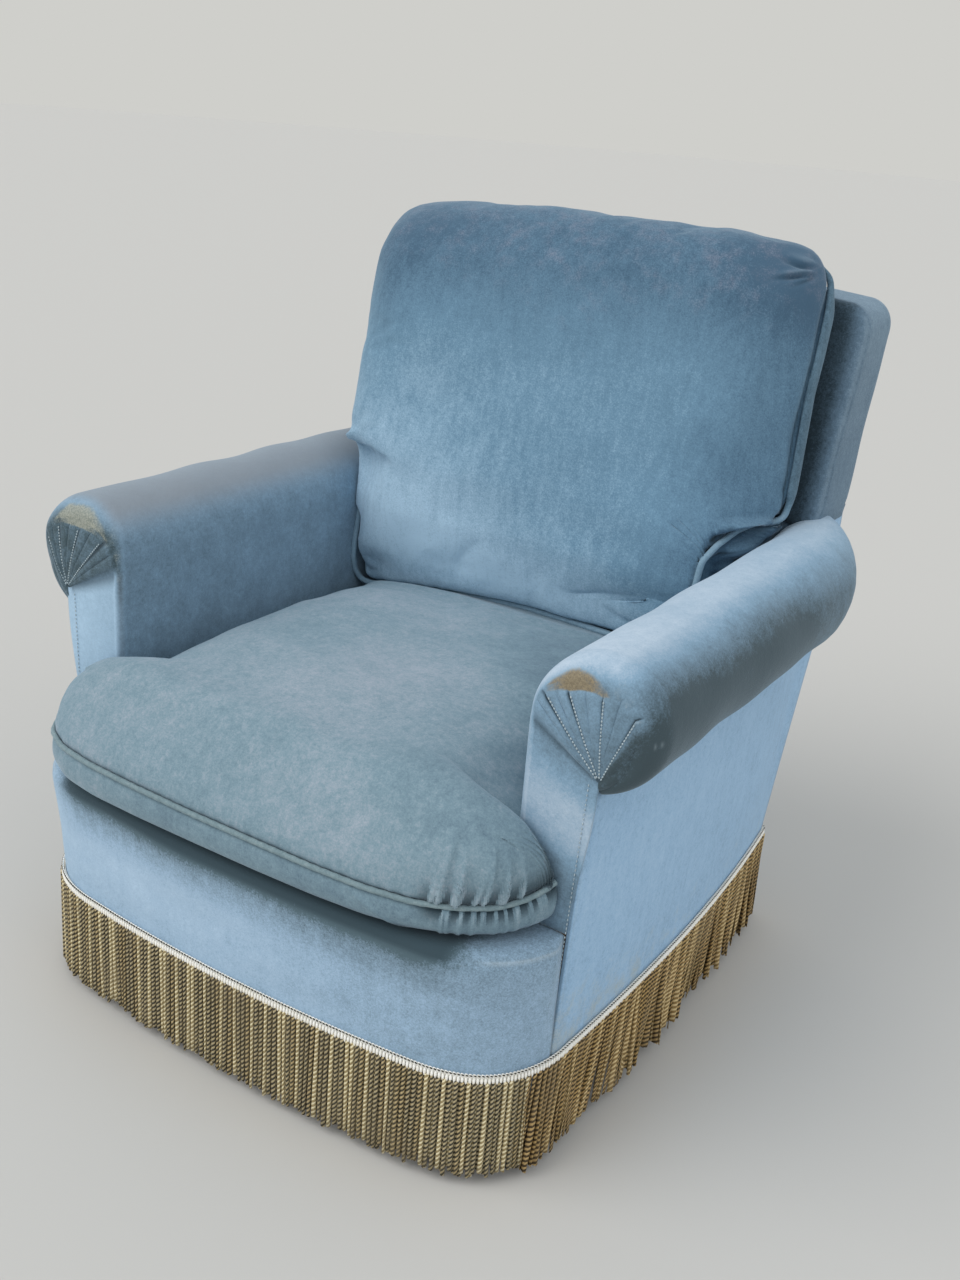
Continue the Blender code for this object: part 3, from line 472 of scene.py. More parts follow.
# places round an arm are in degrees: -78 under the roll, 0 outside, 90 on top, 180 inside, 260 at the deck
armSides = {
    "Right": {
        "gatherPoint": (0.363, 0.466),  # where the pleats meet, x and z
        "pleats": (181.0, 158.0, 131.0, 80.0, 28.0),
        "softFolds": (169.0, 145.0, 106.0, 54.0),
        "grooveWidth": 2.1,
        "shine": 1.0,
        # how far the pleats stop short of the turned edge: degrees, share
        "stopShort": ((40, 0.0), (78, 0.075), (131, 0.085), (158, 0.035), (175, 0.0)),
        # how far over the nose the handled patch reaches: degrees, share of the turn
        "stain": ((58, 0.0), (70, 0.06), (84, 0.16), (105, 0.34), (124, 0.40), (145, 0.24), (158, 0.02)),
        "stainFade": 0.0,
        # tone and wear that set in between two places: amount, from, to
        "fanTone": ((-0.42, 184, 178), (-0.50, 26, 5)),
        # the last step, darker low down beside the seat cushion's corner, is painted shade
        "panelTone": ((-0.10, 180, 181), (0.75, 184, 206), (-1.05, 208, 238)),
        "handled": (),
        "rollTone": (
            (-78, -20, 18, 50, 80, 150, 178, 190),
            (-1.25, -1.2, -1.1, -0.3, 0.6, 0.75, 0.15, 0.0),
        ),
        "upperTone": 0.12,
        "outerSoil": 0.22,
        "innerSoil": 0.0,
        "innerTone": 0.0,
        # two rubbed spots under the nose: place as x, depth, z and radii
        "scuffs": (
            ((0.4090, 0.012, 0.5165), (0.0011, 0.05, 0.0045)),
            ((0.4128, 0.014, 0.5180), (0.0011, 0.05, 0.0040)),
        ),
        "look": {
            "shade": "#425056",
            "mid": "#84a2b9",
            "pale": "#c0cedc",
            "soil": "#988868",
            "soilDark": "#77674c",
            "patches": 0.6,
            "streaks": 0.25,
            "nap": 0.55,
            "pile": 0.8,
        },
    },
    "Left": {
        "gatherPoint": (0.366, 0.474),
        "pleats": (181.0, 150.0, 106.0, 56.0, 20.0),
        "softFolds": (166.0, 128.0, 80.0, 38.0),
        "grooveWidth": 3.6,
        "shine": 0.6,
        "stopShort": ((30, 0.0), (53, 0.040), (106, 0.090), (150, 0.035), (172, 0.0)),
        "stain": ((38, 0.0), (50, 0.20), (75, 0.45), (105, 0.55), (135, 0.42), (152, 0.15), (162, 0.0)),
        "stainFade": 0.45,
        "fanTone": ((-0.85, 184, 178),),
        "panelTone": ((0.85, 250, 215),),
        "handled": ((0.75, 20, 60), (-0.75, 120, 165)),
        "rollTone": ((-78, 0, 40, 90, 130, 160, 190), (-1.0, -0.6, -0.1, -0.1, -0.05, -0.25, -0.25)),
        "upperTone": 0.10,
        "outerSoil": 0.0,
        # on the inside of the nose: dirt, and darker as painted shade in the fold
        "innerSoil": 0.20,
        "innerTone": -0.45,
        "scuffs": (),
        "look": {
            "shade": "#44545a",
            "mid": "#86a2b8",
            "pale": "#aecae0",
            "soil": "#adac9c",
            "soilDark": "#86897c",
            "soiling": 0.8,
            "rubbed": "#8d9298",
            "patches": 0.5,
            "streaks": 0.15,
            "nap": 0.6,
            "pile": 0.8,
        },
    },
}


def rollCircle(depth):
    share = np.clip((depth - arm["endDepth"]) / arm["endLength"], 0, 1)
    radius = arm["radius"] - arm["endLoss"] * (1 - np.sqrt(1 - share**2))
    lost = arm["radius"] - radius
    return arm["rollX"] - lost, arm["rollZ"] + lost, radius


def ramps(values, steps):
    return sum((amount * smoothStep(start, end, values) for amount, start, end in steps), 0.0 * values)


def bell(values, middle, width):
    return np.exp(-(((values - middle) / width) ** 2))


def pleatHeight(degrees, creases, folds):
    # the cloth puffs between two pleats, fuller towards the right one, and dips sharply at each
    creases = sorted(creases + (-40.0,))
    height = np.zeros(len(degrees))
    for low, high in zip(creases, creases[1:]):
        share = np.clip((degrees - low) / (high - low), 0, 1)
        puff = np.sqrt(np.clip(1 - (2 * share - 1) ** 2, 0, 1)) ** 0.55
        inside = (degrees >= low) & (degrees <= high)
        height[inside] = puff[inside] * (1.15 - 0.5 * share[inside])
    for fold in folds:
        height -= 0.42 * bell(degrees, fold, 2.6)
    return height * smoothStep(-38, 14, degrees)


def makeArm(side, sign, look, material):
    panelZ = np.linspace(deckZ + gap, arm["rollZ"] - 0.002, arm["panelColumns"], endpoint=False)
    degrees = np.linspace(180, arm["underside"], arm["rollColumns"])
    angles = np.radians(degrees)
    around = np.concatenate([np.linspace(260, 181.2, len(panelZ)), degrees])
    isRoll = around <= 180
    turns = np.array(noseTurns).T
    inset, reach = (smoothed(np.interp(around, turns[0], turned), 12) for turned in turns[1:])
    outward = np.tile([-1.0, 0.0], (len(around), 1))
    outward[isRoll] = np.column_stack([np.cos(angles), np.sin(angles)])

    def section(depth):  # outline (x, z) without the turned in front edge
        x, z, radius = rollCircle(depth)
        panel = np.column_stack([np.full(len(panelZ), arm["inside"]), panelZ])
        roll = np.column_stack([x + radius * np.cos(angles), z + radius * np.sin(angles)])
        return np.concatenate([panel, roll])

    # the front runs from the corner seam and the gather point out to the turned edge
    outer = section(0.0)
    edge = outer - outward * inset[:, None]
    gatherX, gatherZ = look["gatherPoint"]
    seamX = np.array([panelX(0.0, z) - 0.004 for z in panelZ])
    seamX += (gatherX - seamX[-1]) * smoothStep(0.30, gatherZ, panelZ)
    seamZ = panelZ[0] + (panelZ - panelZ[0]) * (gatherZ - panelZ[0]) / (panelZ[-1] - panelZ[0])
    start = np.tile([gatherX, gatherZ], (len(around), 1))
    start[~isRoll] = np.column_stack([seamX, seamZ])

    pleats = pleatHeight(around, look["pleats"], look["softFolds"]) * isRoll * arm["pleatDepth"]
    # each pleat's groove is painted dark, as painted shade, and the cloth beside it pale, rubbed and with a
    # painted highlight
    groove, lit = np.zeros(len(around)), np.zeros(len(around))
    for crease, strength, shine in zip(look["pleats"], arm["grooves"], arm["shine"]):
        groove += strength * bell(around, crease + 0.9, look["grooveWidth"])
        lit += strength * shine * look["shine"] * bell(around, crease - 2.6, 1.2)
    for fold in look["softFolds"]:
        groove += 0.28 * bell(around, fold, 2.2)
    lift = pleats - groove * arm["grooveDepth"]
    short = np.interp(around, *np.array(look["stopShort"]).T)
    gone = np.clip(short / 0.085, 0, 1)  # how much of the pleats has smoothed out at the edge
    stainReach = np.interp(around, *np.array(look["stain"]).T)
    stained = 0.85 * smoothStep(0.0, 0.10, stainReach) * isRoll
    stained *= 1 - look["stainFade"] * smoothStep(118, 150, around)
    dome = 0.003 * smoothStep(30, -25, around) * isRoll
    frontTone = ramps(around, look["fanTone"]) + ramps(around, look["panelTone"]) * ~isRoll
    upper = look["upperTone"] * smoothStep(60, 100, around) * smoothStep(184, 178, around)
    # round the roll the pile is pale over the top and dark down the outer side, with painted light on top and
    # painted shade under the roll
    rollTone = np.interp(around, *look["rollTone"])
    handled = ramps(around, look["handled"])

    rows, marks = [], {"tone": [], "soil": [], "wear": []}

    def addRow(ring, depth, **values):
        rows.append(np.column_stack([ring[:, 0], depth + 0 * around, ring[:, 1]]))
        for key, value in values.items():
            marks[key].append(value + 0 * around)

    for v in np.linspace(0.0, 1.0, arm["frontRows"], endpoint=False):
        past = v - (1 - short)
        keep = 1 - gone * smoothStep(-0.035, 0.025, past)
        raised = pleats * smoothStep(0.02, 0.45, v) - groove * arm["grooveDepth"] * smoothStep(0, 0.1, v)
        depth = arm["front"] - raised * keep - 0.0015 * math.sin(math.pi * v) * isRoll + dome * v * v
        # painted highlights beside the pleats, painted shade in the grooves and at the gather point
        worn = lit * smoothStep(0.2, 0.4, v) - groove * smoothStep(0.02, 0.12, v)
        addRow(
            start + (edge - start) * v,
            depth,
            tone=frontTone + upper * smoothStep(0.25, 0.85, v) - 0.25 * v * ~isRoll,
            soil=stained * gone * smoothStep(-0.012, 0.02, past),
            wear=worn * keep - 0.6 * (v < 0.05) * isRoll,
        )
    for t in np.linspace(0.0, 1.0, arm["noseRows"], endpoint=False):
        turn = t * math.pi / 2
        fade = (1 - smoothStep(0.0, 0.28, t)) * (1 - gone)
        ring = outer + outward * (lift * fade * math.sin(turn) - inset * (1 - math.sin(turn)))[:, None]
        inStain = smoothStep(0.10, -0.16, t - stainReach) * np.maximum(gone, smoothStep(0.0, 0.1, t))
        onOuter = smoothStep(30, 45, around) * (1 - smoothStep(60, 85, around))
        onOuter = onOuter * (1 - smoothStep(0.2, 0.6, t))
        onInner = smoothStep(120, 150, around) * smoothStep(200, 184, around)
        onInner = onInner * math.sin(math.pi * min(t * 1.2, 1.0))
        soil = np.maximum(stained * inStain, look["outerSoil"] * onOuter)
        share = smoothStep(0.02, 0.6, t)
        rubbed = 0.25 * math.sin(math.pi * t) * ~isRoll + handled * smoothStep(0.3, 1.0, t)
        addRow(
            ring,
            arm["front"] + (dome - lift * fade) * math.cos(turn) + reach * (1 - math.cos(turn)),
            tone=(frontTone + upper) * (1 - share) + rollTone * share + look["innerTone"] * onInner,
            soil=np.maximum(soil, look["innerSoil"] * onInner),
            wear=(lit - groove) * fade + rubbed,
        )
    startDepth = rows[-1][:, 1] + 0.003
    for share in np.linspace(0, 1, arm["bodyRows"]) ** 1.15:
        depth = startDepth + (arm["endDepth"] - startDepth) * share
        shading = 1 + 0.3 * smoothStep(0.20, 0.05, depth) - 0.25 * smoothStep(0.34, 0.50, depth)
        addRow(outer, depth, tone=rollTone * shading, soil=0.0, wear=handled)
    for share in arm["endRows"]:
        ring = section(arm["endDepth"] + share * arm["endLength"])
        depth = arm["endDepth"] + share * (rearDepth(ring[:, 1]) - 0.0517 - arm["endDepth"])
        rubbed = 0.2 * math.sin(math.pi * min(share / 0.85, 1)) * smoothStep(20, 60, around)
        tone = rollTone * (0.75 - 0.2 * share) + 0.2 * share
        addRow(ring, depth, tone=tone, soil=0.0, wear=handled + rubbed)
    last = {key: values[-1] for key, values in marks.items()}
    rim = rows[-1][:, [0, 2]]
    middle = np.where(isRoll[:, None], rim[isRoll].mean(axis=0), rim)
    size = 1.0
    for turn in (0.4, 0.8, 1.2, math.pi / 2):  # the rear end is closed with a low dome
        size = size * math.cos(turn) / math.cos(turn - 0.4) if turn < 1.5 else size * 0.02
        addRow(middle + (rim - middle) * size, rows[-1][:, 1] + isRoll * 0.004, **last)

    rows = np.array(rows)
    points = rows.reshape(-1, 3)
    body = smoothStep(0.05, 0.12, points[:, 1]) * (1 - smoothStep(0.52, 0.60, points[:, 1]))
    wobble = ripples(points, 0.11, 5 + (sign > 0)) * 0.0011 * smoothStep(0.33, 0.42, points[:, 2]) - 0.0006
    normal = np.tile(np.column_stack([outward[:, 0], 0 * around, outward[:, 1]]), (len(rows), 1))
    rows = (points + normal * (wobble * body)[:, None]).reshape(rows.shape)
    rows[:, :, 0] *= sign
    rows[:, :, 1] = yAt(rows[:, :, 1])
    pleatLines = []
    for crease in look["pleats"][1:]:
        column = int(np.argmin(abs(around - crease + 2.6)))
        end = int(round((1 - short[column]) * arm["frontRows"])) - 1
        pleatLines.append(rows[3:end, column] - np.array([0.0, arm["clothThickness"] + 0.0008, 0.0]))
    obj = gridObject(f"armCover{side}", rows, flip=sign > 0, marks=marks)
    worn = np.empty(len(obj.data.vertices))
    obj.data.attributes["wear"].data.foreach_get("value", worn)
    mark(obj, "wear", worn + sum(0.3 * spotOn(pointsOf(obj), *scuff) for scuff in look["scuffs"]))
    thickened(obj, arm["clothThickness"])
    suffix = side.lower()
    finishPiece(obj, material, (f"arm_cover_{suffix}", f"arm_front_cover_{suffix}"))
    return pleatLines


outside = {
    "columns": 90,
    "rows": 44,
    "frontTurn": 0.004,
    "top": 0.5897,  # where the panel goes up behind the roll
    "rise": (0.905, 0.945),  # shares of the length between which the top edge rises
    "rearHalfWidth": 0.333,
    "tucked": -108.0,  # degrees, how far the top edge is tucked in under the roll
    "look": {
        "shade": "#6b87a0",
        "mid": "#98bad8",
        "pale": "#b4cfe6",
        "soil": "#b3b7ae",
        "soilDark": "#9aa09b",
        "patches": 0.5,
    },
}


def underRoll(depth, degrees, drop):
    x, z, radius = rollCircle(depth)
    return x + radius * math.cos(math.radians(degrees)), z + radius * math.sin(math.radians(degrees)) - drop


def outsideTop(place):
    if place > outside["rise"][1]:
        return outside["top"]
    depth = 0.0044 + place * (rearDepth(0.45) - 0.0047)
    depth += 0.10 * max(depth - arm["endDepth"], 0)
    under = underRoll(depth, arm["underside"], 0.0006)[1]
    return under + (outside["top"] - under) * float(smoothStep(*outside["rise"], place))


def makeArmOutside(side, sign, material):
    low = base["bottom"]
    rows = []
    for share in np.linspace(0, 1, outside["rows"]):
        row = []
        for t in np.linspace(0, math.pi / 2, 6)[:-1]:  # the front edge turns in to the corner seam
            z = low + share * (outsideTop(0) - low)
            turn = outside["frontTurn"]
            row.append((panelX(0.0, z) - turn * (1 - math.sin(t)), 0.0004 + turn * (1 - math.cos(t)), z))
        for run in np.linspace(0, 1, outside["columns"]):
            z = low + share * (outsideTop(run) - low)
            depth = 0.0044 + run * (rearDepth(z) - 0.0047)
            x = panelX(min(depth, 0.61), z)
            if z > 0.45:
                drawnIn = (z - 0.45) / 0.14 * float(smoothStep(0.90, 0.945, run))
                x += (outside["rearHalfWidth"] - x) * drawnIn
            row.append((x, depth, z))
        rows.append(row)
    top = rows[-1]
    for share in (0.35, 0.7, 1.0):  # the top is tucked in under the roll
        row = []
        for x, depth, z in top:
            wantedX, wantedZ = underRoll(depth, outside["tucked"], 0.001)
            held = float(smoothStep(0.57, 0.585, z))
            going = share * (1 - held)
            row.append((x + (wantedX - x) * going, depth, z + (wantedZ - z) * going - 0.0004 * held))
        rows.append(row)
    rows = np.array(rows)
    points = rows.reshape(-1, 3)
    middle = smoothStep(0.02, 0.10, points[:, 1]) * (1 - smoothStep(0.50, 0.60, points[:, 1]))
    middle *= smoothStep(0.15, 0.22, points[:, 2])
    points[:, 0] += middle * (0.0012 + ripples(points, 0.22, 31 + sign) * 0.0010)
    rows = points.reshape(rows.shape)
    rows[:, :, 0] *= sign
    rows[:, :, 1] = yAt(rows[:, :, 1])
    obj = gridObject(f"armOutside{side}", rows, flip=sign < 0)
    points = pointsOf(obj)
    depth, z = points[:, 1] - armFrontY, points[:, 2]
    seam = 0.25 * bell(depth, 0.005, 0.003) - 0.55 * bell(depth, 0.0012, 0.0012)
    topEdge = np.array([outsideTop(share) for share in np.clip(depth, 0, 0.6) / 0.64])
    # dark along the corner seam, and painted shade along the top edge where it tucks in under the roll
    mark(obj, "wear", seam - 0.5 * smoothStep(0.016, 0.0, topEdge - z))
    tone = 0.15 * spotOn(points, (sign * 0.36, 0.15, 0.33), (9, 0.18, 0.09))
    mark(obj, "tone", tone - 0.25 * smoothStep(0.02, 0.0, depth))
    mark(obj, "soil", 0.42 * smoothStep(0.25, 0.15, z) * (1 - 0.6 * smoothStep(0.05, 0.3, depth)))
    thickened(obj, arm["clothThickness"])
    finishPiece(obj, material, (f"arm_outside_cover_{side.lower()}",))


pleatLines = {}
for side, sign in (("Right", 1), ("Left", -1)):
    sideLook = armSides[side]
    armVelvet = velvet(f"worn blue cotton velvet, {side.lower()} arm", sideLook["look"])
    pleatLines[side] = makeArm(side, sign, sideLook, armVelvet)
    makeArmOutside(side, sign, velvet(f"blue cotton velvet, outside {side.lower()} arm", outside["look"]))
print("arms covered")


# ---- front border, deck and chair back

border = {
    # out from the rail line and up: the cloth swells over the edge roll and turns back on to the deck
    "section": (
        (0.0, 0.100),
        (0.0, 0.142),
        (0.0018, 0.165),
        (0.0045, 0.200),
        (0.0078, 0.232),
        (0.0102, 0.256),
        (0.0110, 0.268),
        (0.0102, 0.277),
        (0.0070, 0.2835),
        (0.0025, 0.2868),
        (-0.0040, 0.2884),
        (-0.0120, 0.2888),
        (-0.0300, 0.2888),
        (-0.0600, 0.2888),
    ),
    "columns": 240,
    "rows": 90,
    "nearest": -0.0006,  # it stops just in front of the arm faces
    "look": {
        "shade": "#52666f",
        "mid": "#9cb7cf",
        "pale": "#bfd5e9",
        "patches": 0.4,
        "streaks": 0.3,
        "nap": 0.6,
        "rubbed": "#c3ccd0",
    },
}


def makeFrontBorder(look, material):
    half = baseHalf(0.5)
    half = half[half[:, 1] < -0.0025]
    half = np.vstack([half, [outlineX(0.0) - 0.0004, look["nearest"]]])
    path = resample(mirrored(half), look["columns"])
    inner = offsetPath(path, -0.02)
    swell = (1 - smoothStep(-0.022, -0.001, path[:, 1]))[:, None]  # it dies out at the two corner seams
    rows = []
    for distance, z in resample(look["section"], look["rows"]):
        if distance > 0:
            moved = path + (offsetPath(path, distance) - path) * swell
        else:
            moved = path + (inner - path) * (distance / -0.02)
        depth = np.minimum(moved[:, 1], look["nearest"])
        rows.append(np.column_stack([moved[:, 0], depth, np.full(len(moved), z)]))
    rows = np.array(rows)
    points = rows.reshape(-1, 3)
    onFace = smoothStep(0.15, 0.20, points[:, 2]) * (1 - smoothStep(0.272, 0.284, points[:, 2]))
    points[:, 1] -= onFace * ripples(points, 0.16, 12) * 0.0012
    rows = points.reshape(rows.shape)
    rows[:, :, 1] = yAt(np.minimum(rows[:, :, 1], look["nearest"]))
    obj = gridObject("frontBorder", rows)
    points = pointsOf(obj)
    x, depth, z = points[:, 0], points[:, 1] - armFrontY, points[:, 2]
    # painted shadow under the cushion lip, darkest just under it, with a scratch at the right corner and a
    # rubbed edge beside it
    under = smoothStep(0.255, 0.286, z) + 0.5 * smoothStep(0.215, 0.262, z)
    under *= 1 - 0.8 * smoothStep(0.235, 0.305, abs(x))
    middle = 0.35 * spotOn(points, (-0.15, -0.10, 0.20), (0.16, 0.1, 0.05))
    mark(obj, "tone", middle - 0.95 * under - 0.2 * smoothStep(0.10, 0.25, x))
    lip = bell(z, 0.2800, 0.0018) * smoothStep(0.285, 0.315, abs(x))
    scratch = bell(z, 0.2765, 0.0009) * smoothStep(0.250, 0.262, x) * (1 - smoothStep(0.283, 0.292, x))
    shadowUnderLip = smoothStep(0.268, 0.279, z) * (1 - smoothStep(0.262, 0.292, abs(x)))
    seam = smoothStep(-0.004, -0.001, depth)
    mark(obj, "wear", 0.45 * lip + 0.6 * scratch * (1 - shadowUnderLip) - 0.6 * shadowUnderLip - 0.5 * seam)
    thickened(obj, arm["clothThickness"])
    finishPiece(obj, material, ("front_border_cover",))


deck = {
    "halfWidth": 0.2792,
    "front": -0.055,
    "count": 60,
    "look": {"shade": "#4c5f6c", "mid": "#738a9a", "pale": "#8ba0ae"},
}


def makeDeck(look, material):
    rows = []
    for depth in np.linspace(look["front"], faceDepth(deckZ) - 0.004, look["count"]):
        xs = np.linspace(-look["halfWidth"], look["halfWidth"], look["count"])
        row = np.column_stack([xs, np.full(len(xs), yAt(depth)), np.full(len(xs), deckZ)])
        row[:, 2] -= 0.0006 + 0.0004 * (1 + ripples(row, 0.08, 3))
        rows.append(row)
    obj = gridObject("seatDeck", rows)
    thickened(obj, 0.0016)
    finishPiece(obj, material, ("deck_cover",))


back = {
    "halfWidth": 0.333,
    "top": 0.860,
    "topDrop": 0.012,
    "corner": 0.036,
    "shoulder": 0.592,
    "hidden": 0.574,  # the border goes on down behind the arm
    "neck": 0.2788,
    "edgeRound": 0.010,
    "insideTop": 0.80,
    "innerThickness": 0.0018,
    "look": {"shade": "#2f3e47", "mid": "#5b7183", "pale": "#8399a9", "patches": 0.5, "streaks": 0.3},
    "rearLook": {"shade": "#6b87a0", "mid": "#8aa8c0", "pale": "#a4bdd0", "patches": 0.6},
}


def backTop(x):
    return back["top"] - back["topDrop"] * (x / 0.303) ** 2


def makeBackBorder(look, material):
    corner, edge = look["corner"], look["edgeRound"]
    centreX = look["halfWidth"] - corner
    centreZ = backTop(centreX) - corner
    half = [(x, backTop(x)) for x in np.linspace(0, centreX, 30)]
    for angle in np.linspace(math.pi / 2, 0, 14)[1:]:
        half.append((centreX + corner * math.cos(angle), centreZ + corner * math.sin(angle)))
    for z in np.linspace(centreZ, look["hidden"], 30)[1:]:
        half.append((look["halfWidth"] - 0.0008 * (z < look["shoulder"]), z))
    # the outline runs clockwise seen from the front, so outwards is the other way round
    path = mirrored(np.array(half, float))[::-1]
    inner = offsetPath(path, -0.03)
    rings = [(0.075, 0.0), (0.045, 0.0), (0.025, 0.0), (edge, 0.0)]
    rings += [(edge * (1 - math.sin(t)), edge * (1 - math.cos(t))) for t in np.linspace(0.2, math.pi / 2, 6)]
    rows = []
    for inset, sink in rings:
        moved = offsetPath(path, -inset) if 0 < inset < 0.03 else path.copy()
        if inset > 0.03:
            moved = inner + (np.array([0.0, 0.66]) - inner) * ((inset - 0.03) / 0.22)
        rows.append([(x, faceDepth(z) + sink, z) for x, z in moved])
    for share in np.linspace(0, 1, 12)[1:-1]:
        row = []
        for x, z in path:
            front = faceDepth(z) + edge
            row.append((x, front + (rearDepth(z) - front - 0.004) * share, z))
        rows.append(row)
    for t in np.linspace(0, math.pi / 2, 5):
        moved = offsetPath(path, -0.004 * (1 - math.cos(t)) - 1e-6)
        rows.append([(x, rearDepth(z) - 0.004 + 0.0035 * math.sin(t), z) for x, z in moved])
    rows.append([(x, rearDepth(z) - 0.0008, z) for x, z in offsetPath(path, -0.010)])
    rows = np.array(rows)
    points = rows.reshape(-1, 3)
    wobble = ripples(points, 0.12, 8) * 0.0007 * smoothStep(0.30, 0.33, abs(points[:, 0]))
    points[:, 0] += np.sign(points[:, 0]) * wobble
    rows[:, :, 1] = yAt(rows[:, :, 1])
    obj = gridObject("backBorder", rows)
    points = pointsOf(obj)
    fromFace = points[:, 1] - yAt(faceDepth(points[:, 2]))
    front = smoothStep(0.016, 0.004, fromFace)
    # painted shade on the inner face in the recess beside the cushion, and a painted highlight along the
    # front edge
    shadedRecess = front * smoothStep(0.330, 0.300, abs(points[:, 0]))
    mark(obj, "tone", 0.08 * (1 - front) - 1.0 * shadedRecess + 0.25 * smoothStep(0.70, 0.85, points[:, 2]))
    mark(obj, "wear", 0.22 * bell(fromFace, 0.004, 0.003) - 0.40 * shadedRecess)
    thickened(obj, arm["clothThickness"])
    finishPiece(obj, material, ("back_border",))


def makeBackInside(look, material):
    rows = []
    for z in np.linspace(deckZ + 0.004, look["insideTop"], 60):
        width = look["neck"] if z < 0.50 else 0.322
        xs = np.linspace(-width, width, 50)
        rows.append(np.column_stack([xs, np.full(50, yAt(faceDepth(z) + 0.0008)), np.full(50, z)]))
    obj = gridObject("backInside", rows)
    thickened(obj, look["innerThickness"])
    finishPiece(obj, material, ("back_inside_cover",))


def makeBackOutside(look, material):
    corner, low = look["corner"], base["bottom"]
    centreX = look["halfWidth"] - corner
    centreZ = backTop(centreX) - corner
    rows = []
    for share in np.linspace(0, 1, 90):
        row = []
        for across in np.linspace(1, -1, 90):
            x = abs(across) * 0.3275
            top = backTop(x) - 0.006
            if x > centreX:
                top = centreZ + math.sqrt(max((corner - 0.006) ** 2 - (x - centreX) ** 2, 0))
            z = low + share * (top - low)
            shoulder = float(np.clip((z - 0.45) / 0.14, 0, 1))
            width = panelX(0.61, z) * (1 - shoulder) + look["halfWidth"] * shoulder
            width -= 0.0010 + 0.0035 * float(smoothStep(0.585, 0.60, z))
            up = min(max(z - low, 0) / 0.74, 1)
            belly = 0.0016 * math.cos(across * math.pi / 2) * math.sin(math.pi * up)
            row.append((across * width, yAt(rearDepth(z) - 0.0015) + belly, z))
        row = np.array(row)
        wavy = row[:, 1] + ripples(row, 0.2, 17) * 0.0006
        row[:, 1] = np.minimum(wavy, yAt(rearDepth(row[:, 2]) + 0.0022))
        rows.append(row)
    obj = gridObject("backOutside", rows)
    thickened(obj, look["innerThickness"])
    finishPiece(obj, material, ("back_outside_cover",))


makeFrontBorder(border, velvet("worn blue cotton velvet, front border", border["look"]))
makeDeck(deck, velvet("blue cotton velvet, deck", deck["look"]))
backVelvet = velvet("worn blue cotton velvet, chair back", back["look"])
makeBackBorder(back, backVelvet)
makeBackInside(back, backVelvet)
makeBackOutside(back, velvet("blue cotton velvet, outside back", back["rearLook"]))
print("border, deck and back covered")


# ---- loose cushions


def stuffed(name, node, look):
    # the solid becomes an even net, starts a little slack and is blown up like a filled case
    obj = newObject(name, nodes[node].data.copy())
    shape = bmesh.new()
    shape.from_mesh(obj.data)
    bmesh.ops.remove_doubles(shape, verts=shape.verts, dist=1e-5)
    bmesh.ops.recalc_face_normals(shape, faces=shape.faces)
    shape.to_mesh(obj.data)
    shape.free()
    net = obj.modifiers.new("net", "REMESH")
    net.mode = "VOXEL"
    net.voxel_size = look["voxel"]
    soft = obj.modifiers.new("soft", "SMOOTH")
    soft.factor, soft.iterations = 0.5, look["softening"]
    settled(obj)
    swelling = normalsOf(obj) * look["slack"]
    rest = pointsOf(obj) - swelling
    place(obj, rest)
    cloth = obj.modifiers.new("stuffing", "CLOTH")
    cloth.settings.quality = 4
    cloth.settings.mass = 0.3
    cloth.settings.use_pressure = True
    cloth.settings.uniform_pressure_force = look["pressure"]
    cloth.settings.effector_weights.gravity = 0.0
    cloth.collision_settings.use_collision = False
    for step in range(1, 21):
        bpy.context.scene.frame_set(step)
    settled(obj)
    swelling = pointsOf(obj) - rest
    bpy.context.scene.frame_set(1)
    length = np.linalg.norm(swelling, axis=1)
    swelling *= (look["cap"] * np.tanh(length / look["cap"]) / np.maximum(length, 1e-9))[:, None]
    place(obj, rest + swelling)
    finer = obj.modifiers.new("finer", "SUBSURF")
    finer.levels = finer.render_levels = 1
    return settled(obj)


def laidOn(obj, targets, outwards):  # the points where rays from outside meet the cushion
    shape = bmesh.new()
    shape.from_mesh(obj.data)
    tree = BVHTree.FromBMesh(shape)
    shape.free()
    found = []
    for target, outward in zip(targets, outwards):
        outward = Vector(outward).normalized()
        hit = tree.ray_cast(Vector(target) + outward * 0.10, -outward, 0.25)[0]
        found.append(tuple(hit) if hit else tuple(target))
    return np.array(found)


def refined(obj, centre, radii, cuts=2):  # a finer net round a place where the cloth is gathered
    shape = bmesh.new()
    shape.from_mesh(obj.data)
    centre, radii = np.array([centre[0], yAt(centre[1]), centre[2]]), np.array(radii)
    middles = np.array([face.calc_center_median() for face in shape.faces])
    within = np.linalg.norm((middles - centre) / radii, axis=1) < 1
    chosen = [face for face, taken in zip(shape.faces, within) if taken]
    edges = list({edge for face in chosen for edge in face.edges})
    made = bmesh.ops.subdivide_edges(shape, edges=edges, cuts=cuts, use_grid_fill=True)
    verts = [item for item in made["geom_inner"] if isinstance(item, bmesh.types.BMVert)]
    uneven = [face for face in shape.faces if len(face.verts) > 4]
    bmesh.ops.triangulate(shape, faces=uneven, ngon_method="BEAUTY")
    everyWay = {"use_axis_x": True, "use_axis_y": True, "use_axis_z": True}
    for _ in range(3):
        bmesh.ops.smooth_vert(shape, verts=verts, factor=0.5, **everyWay)
    shape.to_mesh(obj.data)
    shape.free()
    obj.data.update()


def nearestOf(line):
    finder = kdtree.KDTree(len(line))
    for i, point in enumerate(line):
        finder.insert(point, i)
    finder.balance()
    return finder


def nearSeam(points, seam, reach):  # index of the nearest seam sample and the distance to it
    finder = nearestOf(seam)
    index = np.zeros(len(points), int)
    away = np.full(len(points), 1.0)
    low, high = seam.min(0) - reach, seam.max(0) + reach
    for i in np.flatnonzero(((points > low) & (points < high)).all(axis=1)):
        _, index[i], away[i] = finder.find(points[i])
    return index, away


